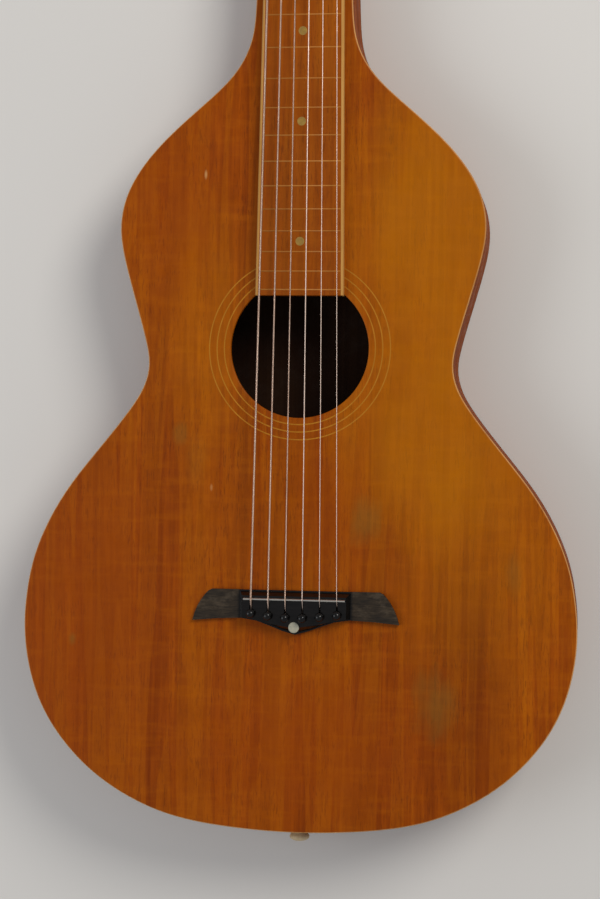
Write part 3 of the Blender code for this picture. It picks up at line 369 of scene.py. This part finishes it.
# Patches on the top: (centre, radii, colour, amount, raggedness) in mm. The gold patches on the treble half, strongest
# on the upper bout, are partly the koa's own tone and partly a painted highlight where light falls on the upper right.
TOP_TINTS_AND_HIGHLIGHTS = [
    ((95, 414), (75, 130), GOLD_TONE_AND_HIGHLIGHT, 0.75, 0.3), ((92, 276), (80, 95), GOLD_TONE_AND_HIGHLIGHT, 0.7, 0.3), ((120, 190), (85, 95), GOLD_TONE_AND_HIGHLIGHT, 0.35, 0.3),
    ((-60, 350), (40, 110), GOLD_TONE_AND_HIGHLIGHT, 0.3, 0.3), ((-143, 146), (75, 140), RED, 0.6, 0.3), ((-95, 440), (55, 100), RED, 0.5, 0.3),
    ((10, 60), (130, 60), RED, 0.6, 0.3), ((20, 225), (34, 60), RED, 0.5, 0.25), ((118, 100), (42, 110), DARK, 0.4, 0.5),
    ((97, 91), (17, 30), GREY, 0.62, 1.0), ((49, 215), (12, 20), GREY, 0.60, 1.0), ((148, 180), (7, 20), GREY, 0.40, 0.6),
    ((-157, 129), (3.5, 6), GREY, 0.6, 0.6), ((-82, 273), (6, 9), GREY, 0.45, 0.8), ((-70, 255), (9, 22), GREY, 0.2, 0.8),
    ((-67, 452), (1.3, 4.0), (0.62, 0.36, 0.14), 0.7, 0.3), ((-60, 236), (1.2, 3.0), (0.60, 0.34, 0.13), 0.4, 0.3),
]
KOA_TOP = wood("koa_top_wood", (0.15, 0.023, 0.0002), (0.295, 0.057, 0.0003), (0.42, 0.108, 0.0005), 0.31, rough=0.40, coat=0.03, shine=0.07, pores=0.7, figure=1.0, patches=0.35, tints_and_highlights=TOP_TINTS_AND_HIGHLIGHTS)
# Lighter koa on the top's rounded edge band: partly wear to bare wood, partly a painted highlight along the edge.
KOA_EDGE_WEAR_AND_HIGHLIGHT = wood("koa_edge_wear_and_highlight", (0.36, 0.14, 0.03), (0.50, 0.24, 0.07), (0.62, 0.34, 0.12), 0.31, rough=0.5, coat=0.05, patches=0.2)
KOA_INSIDE = wood("koa_inside_wood", (0.010, 0.004, 0.002), (0.018, 0.007, 0.003), (0.028, 0.012, 0.005), 3.3, rough=0.85, coat=0.0, patches=0.3, shine=0.1)
KOA_RIB = wood("koa_rib_wood", (0.11, 0.016, 0.001), (0.23, 0.044, 0.001), (0.34, 0.085, 0.002), 1.7, rough=0.5, coat=0.0, shine=0.03, wall=True)
KOA_BACK = wood("koa_back_wood", (0.13, 0.022, 0.001), (0.26, 0.056, 0.001), (0.38, 0.105, 0.002), 1.3, rough=0.42, coat=0.03, figure=0.8)
KOA_HEAD = wood("koa_head_wood", (0.13, 0.022, 0.001), (0.25, 0.056, 0.0015), (0.37, 0.108, 0.003), 2.9, figure=0.6)
KOA_BOARD = wood("koa_board_wood", (0.16, 0.028, 0.0008), (0.29, 0.063, 0.0014), (0.39, 0.105, 0.003), 4.1, grain=1.3, rough=0.42, coat=0.03, shine=0.08, pores=0.7, figure=0.6)
PALE = wood("pale_strip_wood", (0.30, 0.13, 0.028), (0.44, 0.215, 0.050), (0.56, 0.30, 0.085), 5.3, grain=1.6, pores=0.2, patches=0.1)
PALE_X = wood("pale_fret_wood", (0.27, 0.085, 0.012), (0.40, 0.145, 0.022), (0.52, 0.21, 0.040), 5.9, grain=1.6, pores=0.2, across=True, patches=0.1)
PALE_RING = wood("pale_ring_wood", (0.30, 0.105, 0.004), (0.39, 0.145, 0.008), (0.47, 0.19, 0.015), 5.5, grain=1.6, pores=0.2, patches=0.1)
SPRUCE = wood("spruce_wood", (0.46, 0.28, 0.12), (0.60, 0.41, 0.20), (0.72, 0.53, 0.29), 6.1, rough=0.7, coat=0.0, pores=0.1)
CEDAR = wood("cedar_wood", (0.28, 0.13, 0.06), (0.40, 0.21, 0.10), (0.52, 0.30, 0.15), 7.3, rough=0.75, coat=0.0, pores=0.2)
MAHOGANY = wood("mahogany_wood", (0.18, 0.06, 0.022), (0.29, 0.11, 0.042), (0.40, 0.17, 0.07), 8.7, rough=0.7, coat=0.0)
MAPLE = wood("maple_wood", (0.52, 0.35, 0.18), (0.64, 0.46, 0.26), (0.74, 0.57, 0.35), 9.1, rough=0.6, coat=0.0, pores=0.1)
BOXWOOD = wood("boxwood", (0.42, 0.30, 0.16), (0.55, 0.42, 0.25), (0.66, 0.54, 0.35), 10.3, grain=1.5, rough=0.4, pores=0.15, patches=0.2)
BONE = smooth_stuff("bone_stuff", (0.74, 0.67, 0.50), (0.60, 0.50, 0.32), 0.35, 160)
BUTTON = smooth_stuff("cream_button_stuff", (0.72, 0.62, 0.42), (0.62, 0.48, 0.27), 0.25, 90, coat=0.4)
PEARL = smooth_stuff("pearl_stuff", (0.40, 0.37, 0.27), (0.27, 0.27, 0.21), 0.25, 420, coat=0.2)
PEARL_WARM = smooth_stuff("pearl_warm_stuff", (0.34, 0.20, 0.030), (0.24, 0.13, 0.018), 0.25, 420, coat=0.15)
BLACK = smooth_stuff("black_pin_stuff", (0.003, 0.003, 0.003), (0.006, 0.006, 0.006), 0.10, 120, coat=0.0, bump=0.01, shine=0.25)
FRET_METAL = metal("saddle_metal", (0.52, 0.50, 0.45), 0.32)
BRASS = metal("brass_metal", (0.55, 0.40, 0.17), 0.34, (0.10, 0.07, 0.03), 0.5)
NICKEL = metal("nickel_metal", (0.53, 0.51, 0.46), 0.30, (0.20, 0.15, 0.09), 0.45)
STEEL = metal("steel_metal", (0.50, 0.49, 0.47), 0.32, (0.16, 0.12, 0.08), 0.4)
PLAIN_WIRE = metal("plain_wire_metal", (0.74, 0.58, 0.48), 0.36, (0.42, 0.28, 0.20), 0.3)


def wound_wire():
    """Wire wound round a core: fine turns across the string's length."""
    n = Nodes("wound_wire_metal")
    y = n.add("ShaderNodeSeparateXYZ", {0: n.coords}).outputs[1]
    turns = n.math("SINE", n.math("MULTIPLY", y, 2 * math.pi / 0.00034))
    cloud = n.noise(n.mapped((120, 40, 120)), 1.0, 4.0)
    colour = n.mix(n.ramp(cloud, (0.4, 0.0), (0.7, 0.6)), (0.80, 0.58, 0.45), (0.50, 0.33, 0.24))
    colour = n.mix(n.math("MULTIPLY", n.math("ADD", n.math("MULTIPLY", turns, -0.5), 0.5), 0.35), colour, (0.12, 0.07, 0.045))
    n.bump(turns, 0.5, 0.0001)
    return n.finish(colour, n.ramp(cloud, (0.3, 0.32), (0.7, 0.46)), Metallic=1.0)


WOUND_WIRE = wound_wire()


def ebonised():
    """Black-stained wood: the middle polished jet black, the wings rubbed brown, with lighter grey streaks that are
    partly scuffs and partly a painted reflection of the wings' gloss.
    """
    n = Nodes("ebonised_bridge_wood")
    grain = n.noise(n.mapped((120, 900, 900)), 1.0, 4.0, 0.6)
    rub_and_sheen = n.noise(n.mapped((60, 90, 90), (0.37, 0.11, 0)), 1.0, 5.0, 0.65)
    x = n.math("ABSOLUTE", n.add("ShaderNodeSeparateXYZ", {0: n.coords}).outputs[0], 0.0)
    wing = n.ramp(n.math("MULTIPLY", x, 10.0), (0.385, 0.0), (0.400, 1.0))
    edge = n.ramp(n.math("MULTIPLY", x, 10.0), (0.62, 0.0), (0.72, 1.0))
    colour = n.ramp(grain, (0.35, (0.0025, 0.002, 0.002)), (0.7, (0.006, 0.005, 0.0045)))
    worn = n.ramp(grain, (0.35, (0.018, 0.011, 0.005)), (0.65, (0.050, 0.033, 0.017)))
    amount = n.math("ADD", n.ramp(rub_and_sheen, (0.36, 0.30), (0.66, 0.85)), n.math("MULTIPLY", edge, 0.2), clamp=True)
    colour = n.mix(n.math("MULTIPLY", wing, amount), colour, worn)
    # Painted reflection: lighter grey streaks on the wings, partly scuffs and partly the gloss's reflection painted in.
    light = n.ramp(rub_and_sheen, (0.55, 0.0), (0.66, 1.0))
    colour = n.mix(n.math("MULTIPLY", n.math("MULTIPLY", wing, light), 0.25), colour, (0.11, 0.085, 0.060))
    n.bump(grain, 0.10, 0.0001)
    return n.finish(colour, n.math("ADD", n.math("MULTIPLY", wing, 0.22), 0.16), Specular_IOR_Level=0.22, Coat_Weight=0.06, Coat_Roughness=0.05)


EBONISED = ebonised()

finishes = {
    "x_brace_lower_bass": SPRUCE, "x_brace_lower_treble": SPRUCE, "tone_bar": SPRUCE, "upper_face_brace": SPRUCE,
    "back_brace_1": SPRUCE, "back_brace_2": SPRUCE, "back_brace_3": SPRUCE, "bridge_plate": MAPLE, "tail_block": MAHOGANY,
    "neck_block": MAHOGANY, "lining_top_bass": CEDAR, "lining_top_treble": CEDAR, "lining_back_bass": CEDAR,
    "lining_back_treble": CEDAR, "nut": BONE, "bridge": EBONISED, "saddle": FRET_METAL, "bridge_dot": PEARL,
    "tuner_plate_bass": NICKEL, "tuner_plate_treble": NICKEL,
}
for i in range(1, 7):
    finishes[f"tuner_post_{i}"] = BRASS
    finishes[f"tuner_worm_shaft_{i}"] = STEEL
for name, mat in finishes.items():
    if name in nodes:
        for slot in nodes[name].material_slots:
            slot.material = mat


def soften(node, width, angle=30, segments=2):
    m = nodes[node].modifiers.new("soft_edges", "BEVEL")
    m.width = width * MM
    m.segments = segments
    m.limit_method = "ANGLE"
    m.angle_limit = math.radians(angle)
    m.harden_normals = False
    m.use_clamp_overlap = True


soften("nut", 0.35)
soften("bridge", 0.45, 28)

# ---------------------------------------------------------------- soundboard, back and sides
FINE = 240


def edge_levels(profile, height):
    """Loops all round the body, one per (inset, drop) of the profile; height(y) is the board's outer face."""
    levels = []
    for inset, drop in profile:
        right = body.walk(0, TOTAL, FINE, inset)
        loop = right + [(-x, y) for x, y in reversed(right[1:])]
        levels.append([(x, y, height(y) + drop) for x, y in loop])
    return levels


worn = [(1.3, 0.0), (0.7, -0.08), (0.3, -0.32), (0.08, -0.75), (0.02, -1.3), (0.02, -PLATE_T)]
rim = [[(x, y, z) for x, y in circle(0, HOLE_Y, r, 96)] for r, z in ((HOLE_R + 0.6, 0), (HOLE_R + 0.2, -0.15), (HOLE_R, -0.6), (HOLE_R, -PLATE_T))]
holes = [[[(u, v, z) for u, v in circle(x, y, PIN_HOLE_R, 20)] for z in (0, -PLATE_T)] for x, y in pin_places]
# The top's rounded edge band takes the lighter edge material: real wear with a painted highlight.
plate(
    "top_board",
    [edge_levels(worn, lambda y: 0.0), rim] + holes,
    KOA_TOP,
    edge=(KOA_EDGE_WEAR_AND_HIGHLIGHT, 1, 3),
    inside=(KOA_INSIDE, 1),
    node="soundboard",
    slot="koa_top",
)
plate(
    "back_board",
    [edge_levels([(i, -d) for i, d in reversed(worn)], back_z)],
    KOA_BACK,
    inside=(KOA_INSIDE, 0),
    node="back_plate",
    slot="koa_back_and_sides",
)
for side, word in ((-1, "bass"), (1, "treble")):
    outer = body.walk(0.02, TOTAL, FINE * 2, 0.10)
    inner = body.walk(0.02, TOTAL, FINE * 2, RIB_T)
    rings = []
    for (ox, oy), (ix, iy) in zip(outer, inner):
        rings.append([
            (side * ox, oy, -PLATE_T - 0.02), (side * ix, iy, -PLATE_T - 0.02),
            (side * ix, iy, back_z(iy) + PLATE_T + 0.02), (side * ox, oy, back_z(oy) + PLATE_T + 0.02),
        ])
    rib = loft("rib_" + word, rings, KOA_RIB, node="side_" + word, slot="koa_back_and_sides")
    rib.data.materials.append(KOA_INSIDE)
    for k, face in enumerate(rib.data.polygons):
        if k < 4 * (len(rings) - 1) and k % 4 == 1:  # the wall's inner face
            face.material_index = 1

# Three thin rings let into the top round the soundhole.
for i, r in enumerate((52.3, 57.4, 62.7), 1):
    verts, faces, n = [], [], 144
    for k in range(n):
        a = 2 * math.pi * k / n
        for q, z in ((r - 0.42, -0.4), (r - 0.42, 0.035), (r + 0.42, 0.035), (r + 0.42, -0.4)):
            verts.append((q * math.cos(a), HOLE_Y + q * math.sin(a), z))
        b = (k + 1) % n
        faces += [(4 * k + j, 4 * b + j, 4 * b + (j + 1) % 4, 4 * k + (j + 1) % 4) for j in range(4)]
    make(f"rosette_ring_{i}", verts, faces, PALE_RING, slot="pale_wood_binding", smooth=30)

# ---------------------------------------------------------------- fingerboard with its inlays
def fb_half(y):
    return FB_HALF_END + (FB_HALF_NUT - FB_HALF_END) * (y - FB_END_Y) / (NUT_Y - FB_END_Y)


FB_TOP = GLUE + FB_T


def strip(name, x0, x1, mat, node, slot, bevel):
    """A long piece between two lines given as functions of y, from the fingerboard's end to the nut."""
    rings = []
    for y, drop in ((FB_END_Y, 0.35), (FB_END_Y + 0.35, 0.0), ((FB_END_Y + NUT_Y) / 2, 0.0), (NUT_Y, 0.0)):
        a, b = x0(y), x1(y)
        rings.append([(a, y, 0.02), (b, y, 0.02), (b, y, FB_TOP - bevel[1] - drop), (b - bevel[1], y, FB_TOP - drop), (a + bevel[0], y, FB_TOP - drop), (a, y, FB_TOP - bevel[0] - drop)])
    loft(name, rings, mat, node=node, slot=slot, smooth=25)


strip("fingerboard_core", lambda y: -(fb_half(y) - 1.75), lambda y: fb_half(y) - 1.75, KOA_BOARD, "fingerboard", "koa_fingerboard", (0.02, 0.02))
strip("edge_strip_bass", lambda y: -fb_half(y), lambda y: -(fb_half(y) - 1.74), PALE, "fingerboard_edging_bass", "pale_wood_binding", (0.5, 0.02))
strip("edge_strip_treble", lambda y: fb_half(y) - 1.74, lambda y: fb_half(y), PALE, "fingerboard_edging_treble", "pale_wood_binding", (0.02, 0.5))
fret_y = [SADDLE_Y + SCALE_LENGTH * 2 ** (-n / 12) for n in range(20)]
for n in range(1, 20):
    y, w = fret_y[n], fb_half(fret_y[n]) - 1.9
    rings = [[(x, y - 0.42, FB_TOP - 1), (x, y + 0.42, FB_TOP - 1), (x, y + 0.42, FB_TOP + 0.03), (x, y - 0.42, FB_TOP + 0.03)] for x in (-w, w)]
    loft(f"fret_strip_{n}", rings, PALE_X, slot="pale_wood_binding", smooth=30)
for n in (5, 7, 9, 12, 17):
    y = (fret_y[n - 1] + fret_y[n]) / 2
    rings = [[(u, v, z) for u, v in circle(0, y, r, 40)] for r, z in ((3.0, FB_TOP - 1), (3.0, FB_TOP + 0.02), (2.8, FB_TOP + 0.05))]
    loft(f"fret_dot_{n}", rings, PEARL_WARM, slot="pearl_dot", smooth=40)

# ---------------------------------------------------------------- bridge pins
for i, (x, y) in enumerate(pin_places, 1):
    profile = [(1.9, -PIN_LENGTH), (PIN_R, -0.4), (PIN_R, 0.3), (2.3, 0.45), (2.45, 0.75)]
    profile += [(PIN_HEAD_R * math.cos(a), 3.2 + PIN_HEAD_R * 0.96 * math.sin(a)) for a in [math.radians(v) for v in range(-50, 90, 10)]]
    profile.append((0.12, 3.2 + PIN_HEAD_R * 0.96))
    rings = []
    for r, z in profile:
        rings.append([(u, min(v, 0.92) if z <= 0.3 else v, z) for u, v in circle(0, 0, r, 32)])
    loft(f"pin_{i}_turned", rings, BLACK, body=f"pin_{i}", node=f"bridge_pin_{i}", slot="black_pin", smooth=50, local=Matrix.Translation((x, y, BRIDGE_H)))

# ---------------------------------------------------------------- headstock
def head_half(h):
    if h < 0:
        return FB_HALF_NUT + 3.0
    if h < 16:
        s = h / 16
        return (FB_HALF_NUT + 3.0) + (34.6 - FB_HALF_NUT - 3.0) * s * s * (3 - 2 * s)
    flare = 34.6 + EDGE_SLOPE * (h - 16)
    if h <= CROWN:
        return flare
    s = (h - CROWN) / (HEAD_LENGTH - CROWN)
    return flare * math.sqrt(max(1 - 0.93 * s * s, 0.0))


def heel(h):
    s = min(max((h + HEAD_START) / (HEEL_END + HEAD_START), 0), 1)
    return HEAD_T + (DEPTH_NUT - 0.5 - HEAD_T) * (1 - s * s * (3 - 2 * s))


STRIP = {
    side: Matrix.Translation((side * (head_half(POST_H[0]) - POST_EDGE), POST_H[0], 0)) @ Matrix.Rotation(-side * math.atan(EDGE_SLOPE), 4, "Z")
    for side in (-1, 1)
}
TUNERS = {1: (-1, 0), 2: (-1, 1), 3: (-1, 2), 4: (1, 2), 5: (1, 1), 6: (1, 0)}


def tuner_place(number):
    return POST_H[TUNERS[number][1]] - POST_H[0]


stations = [-HEAD_START + 0.05] + list(np.linspace(-5, HEEL_END, 44)) + [40, 60, 80, 100, 120, CROWN]
stations += [CROWN + (HEAD_LENGTH - CROWN) * math.sin(math.radians(a)) for a in list(range(6, 90, 6)) + [88, 90]]
rings = []
for h in stations:
    y = NUT_Y + HEAD_START + (h if h < 0 else h * math.cos(TILT))
    top = 0.0 if h < 0 else -h * math.sin(TILT)
    end = min(1.0, (HEAD_LENGTH - h) / 1.2) if h > CROWN else 1.0
    w, t, c = head_half(h), heel(h), 1.0
    ring = []
    sink = (1 - end) * 0.9
    for cx, cz, start in ((w - c, top - c - sink, 0), (-w + c, top - c - sink, 90), (-w + c, top - t + c + sink, 180), (w - c, top - t + c + sink, 270)):
        for q in range(5):
            a = math.radians(start + 22.5 * q)
            ring.append((cx + c * math.cos(a), y, cz + c * math.sin(a)))
    rings.append(ring)
headstock = loft("headstock_shaped", rings, KOA_HEAD, node="headstock", slot="koa_headstock", smooth=30)

# ---------------------------------------------------------------- strings
UNDER = -PLATE_T - GLUE
BRIDGE_PLATE_T = 2.6
COIL_TURNS, COIL_STEPS, COIL_START, POST_WAIST = 2.1, 28, 9.4, 2.6


def string_points(i):
    number, r = i + 1, STRING_D[i] / 2
    px, py = pin_places[i]
    hold = py + PIN_HOLE_R - GLUE - STRING_D[0] / 2
    ball = UNDER - BRIDGE_PLATE_T - 3.85
    points = [(px, py + 3.3, ball + dz, rr) for dz, rr in ((-2.0, 0.4), (-1.8, 0.9), (-1.2, 1.7), (-0.6, 1.95), (0, 2.05), (0.6, 1.95), (1.2, 1.7), (2.0, max(r, 0.6)))]
    points += [(px, hold, UNDER - BRIDGE_PLATE_T - 0.55, r), (px, hold, 6.0, r), (px, hold + 0.12, 6.4, r), (px, hold + 0.35, 6.75, r)]
    sx, nx = string_x(i, SADDLE_Y), string_x(i, NUT_Y)
    over = BRIDGE_H + SADDLE_CROWN + 0.03 + r
    points += [(sx, SADDLE_Y - 0.9, over - 0.3, r), (sx, SADDLE_Y - 0.2, over - 0.03, r), (sx, SADDLE_Y + 0.4, over, r)]
    points += [(nx, NUT_FROM + 0.4, STRING_Z_NUT + r, r), (nx, NUT_FROM + 1.6, STRING_Z_NUT + r - 0.1, r)]
    side = TUNERS[number][0]
    local = HEAD_FRAME @ STRIP[side]
    post = local @ Vector((0, tuner_place(number), 0))
    z_axis = (local.to_3x3() @ Vector((0, 0, 1))).normalized()
    x_axis = Vector((1, 0, 0))
    y_axis = z_axis.cross(x_axis)
    wind = POST_WAIST + r + 0.12
    back = Vector((nx - post.x, NUT_FROM + 1.6 - post.y))
    touch = math.atan2(back.y, back.x) - side * math.acos(wind / back.length)
    for s in range(int(COIL_TURNS * COIL_STEPS) + 1):
        a = touch - side * 2 * math.pi * s / COIL_STEPS
        sink = (STRING_D[i] + 0.1) * s / COIL_STEPS
        p = post + (x_axis * math.cos(a) + y_axis * math.sin(a)) * wind + z_axis * (COIL_START - sink)
        points.append((*p, r))
    return points


for i in range(6):
    line = string_points(i)
    pts = [Vector(p[:3]) for p in line]
    rings, normal, sides = [], Vector((1, 0, 0)), 12
    for j, p in enumerate(pts):
        tangent = (pts[min(j + 1, len(pts) - 1)] - pts[max(j - 1, 0)]).normalized()
        normal = (normal - tangent * normal.dot(tangent)).normalized()
        other = tangent.cross(normal)
        rings.append([tuple(p + (normal * math.cos(2 * math.pi * k / sides) + other * math.sin(2 * math.pi * k / sides)) * line[j][3]) for k in range(sides)])
    wound = i < 3
    loft(f"string_{i + 1}_wire", rings, WOUND_WIRE if wound else PLAIN_WIRE, node=f"string_{i + 1}", slot="bronze_wound_string" if wound else "plain_steel_string", smooth=60)

# ---------------------------------------------------------------- tuner buttons
WORM_PITCH, WORM_R, TEETH = 2.356, 2.4, 14
WORM_CREST = 0.7
PLATE_METAL_T = 1.2
GEAR_Z = -HEAD_T * math.cos(TILT) - GLUE - PLATE_METAL_T - 0.35 - WORM_R - WORM_CREST
CENTRES = TEETH * WORM_PITCH / (2 * math.pi) + WORM_R
BUTTON_RINGS = [(12.4, 2.3, 2.3), (14.4, 2.5, 2.5), (15.2, 4.6, 3.1), (16.6, 6.6, 3.7), (19.2, 7.8, 4.0), (22.2, 7.6, 3.9), (24.6, 6.2, 3.3), (26.0, 4.0, 2.3), (26.6, 1.8, 1.1)]
knots = np.array(BUTTON_RINGS)
for number, (side, k) in TUNERS.items():
    place = Matrix.Translation((0, tuner_place(number) + CENTRES, GEAR_Z))
    if side < 0:
        place = place @ Matrix.Rotation(math.pi, 4, "Y")
    rings = []
    for s in np.linspace(0, len(knots) - 1, 41):
        j = min(int(s), len(knots) - 2)
        f = s - j
        lo, hi = knots[max(j - 1, 0)], knots[min(j + 2, len(knots) - 1)]
        m0, m1 = (knots[j + 1] - lo) / 2, (hi - knots[j]) / 2
        x, ry, rz = knots[j] * (1 + 2 * f) * (1 - f) ** 2 + m0 * f * (1 - f) ** 2 + knots[j + 1] * f * f * (3 - 2 * f) + m1 * f * f * (f - 1)
        rings.append([(x, ry * math.cos(2 * math.pi * q / 32), rz * math.sin(2 * math.pi * q / 32)) for q in range(32)])
    loft(f"button_{number}_turned", rings, BUTTON, body=f"tuner_knob_{number}", node=f"tuner_button_{number}", slot="cream_button", smooth=60, local=HEAD_FRAME @ STRIP[side] @ place)

# ---------------------------------------------------------------- end pin
profile = [(3.4, -22), (END_PIN_R, 0.2), (END_PIN_R, 0.6), (5.8, 0.7), (6.1, 1.1), (6.1, 1.6), (5.2, 2.6), (4.6, 3.6), (4.4, 4.6), (4.7, 5.7), (5.7, 6.8), (6.6, 7.6)]
profile += [(0.4 + 6.6 * math.cos(a), 8.9 + 3.3 * math.sin(a)) for a in [math.radians(v) for v in range(-10, 91, 10)]]
rings = [[(u, v, z) for u, v in circle(0, 0, r, 48)] for r, z in profile]
loft("end_pin_turned", rings, BOXWOOD, body="end_peg", node="end_pin", slot="boxwood_pin", smooth=50, local=Matrix.Translation((0, 0, END_PIN_Z)) @ Matrix.Rotation(math.pi / 2, 4, "X"))

# ---------------------------------------------------------------- floor, light and camera
floor_mesh = bpy.data.meshes.new("floor")
floor_mesh.from_pydata([(-6, -6, -0.0005), (6, -6, -0.0005), (6, 6, -0.0005), (-6, 6, -0.0005)], [], [(0, 1, 2, 3)])
floor = bpy.data.objects.new("floor", floor_mesh)
bpy.context.scene.collection.objects.link(floor)
n = Nodes("floor_paint")
n.bsdf.inputs["Base Color"].default_value = (0.62, 0.60, 0.57, 1)
n.bsdf.inputs["Roughness"].default_value = 0.85
clear = n.add("ShaderNodeBsdfTransparent")
pick = n.add("ShaderNodeMixShader", {0: n.add("ShaderNodeNewGeometry").outputs["Backfacing"], 1: n.bsdf.outputs[0], 2: clear.outputs[0]})
n.tree.links.new(pick.outputs[0], n.tree.nodes["Material Output"].inputs["Surface"])
floor_mesh.materials.append(n.mat)

world = bpy.data.worlds.new("studio")
bpy.context.scene.world = world
world.use_nodes = True
world.node_tree.nodes["Background"].inputs[0].default_value = (0.96, 0.97, 1.0, 1)
world.node_tree.nodes["Background"].inputs[1].default_value = 0.42


def area(name, place, target, size, power, colour=(1, 1, 1)):
    light = bpy.data.lights.new(name, "AREA")
    light.shape = "DISK"
    light.size = size
    light.energy = power
    light.color = colour
    obj = bpy.data.objects.new(name, light)
    obj.location = place
    obj.rotation_mode = "QUATERNION"
    obj.rotation_quaternion = (Vector(target) - Vector(place)).to_track_quat("-Z", "Y")
    bpy.context.scene.collection.objects.link(obj)


area("key_light", (1.3, 1.0, 1.7), (0, 0, 0), 1.1, 34, (1.0, 0.97, 0.92))
area("fill_light", (-1.6, -0.3, 1.4), (0, -0.1, 0), 1.4, 14, (0.93, 0.96, 1.0))

# Camera: over the guitar, square to its top along the strings and a little to the treble side.
PX = 0.6859  # mm of the top's plane per pixel
FOCAL = 2000.0  # pixels
YAW, ROLL = math.radians(8.0), math.radians(-0.83)
roll = Matrix.Rotation(ROLL, 3, "Z")
ex = roll @ Vector((math.cos(YAW), 0, math.sin(YAW)))
ey = roll @ Vector((0, 1, 0))
ez = ex.cross(ey)
eye = Vector((PX * (FOCAL * ex.z + 1.99), PX * (FOCAL * ey.z + 383.5), PX * FOCAL * ez.z))
turn = Matrix(((ex.x, ex.y, ex.z), (ey.x, ey.y, ey.z), (ez.x, ez.y, ez.z)))
cam_data = bpy.data.cameras.new("camera")
cam_data.sensor_width = 36.0
cam_data.lens = 36.0 * FOCAL / 899
cam_data.clip_start, cam_data.clip_end = 0.05, 30
cam = bpy.data.objects.new("camera", cam_data)
place = TO_WORLD @ (Matrix.Translation(eye) @ turn.to_4x4())
place.translation = place.translation * MM
cam.matrix_world = place
bpy.context.scene.collection.objects.link(cam)
bpy.context.scene.camera = cam
bpy.context.scene.view_settings.view_transform = "Standard"

bpy.context.view_layer.update()
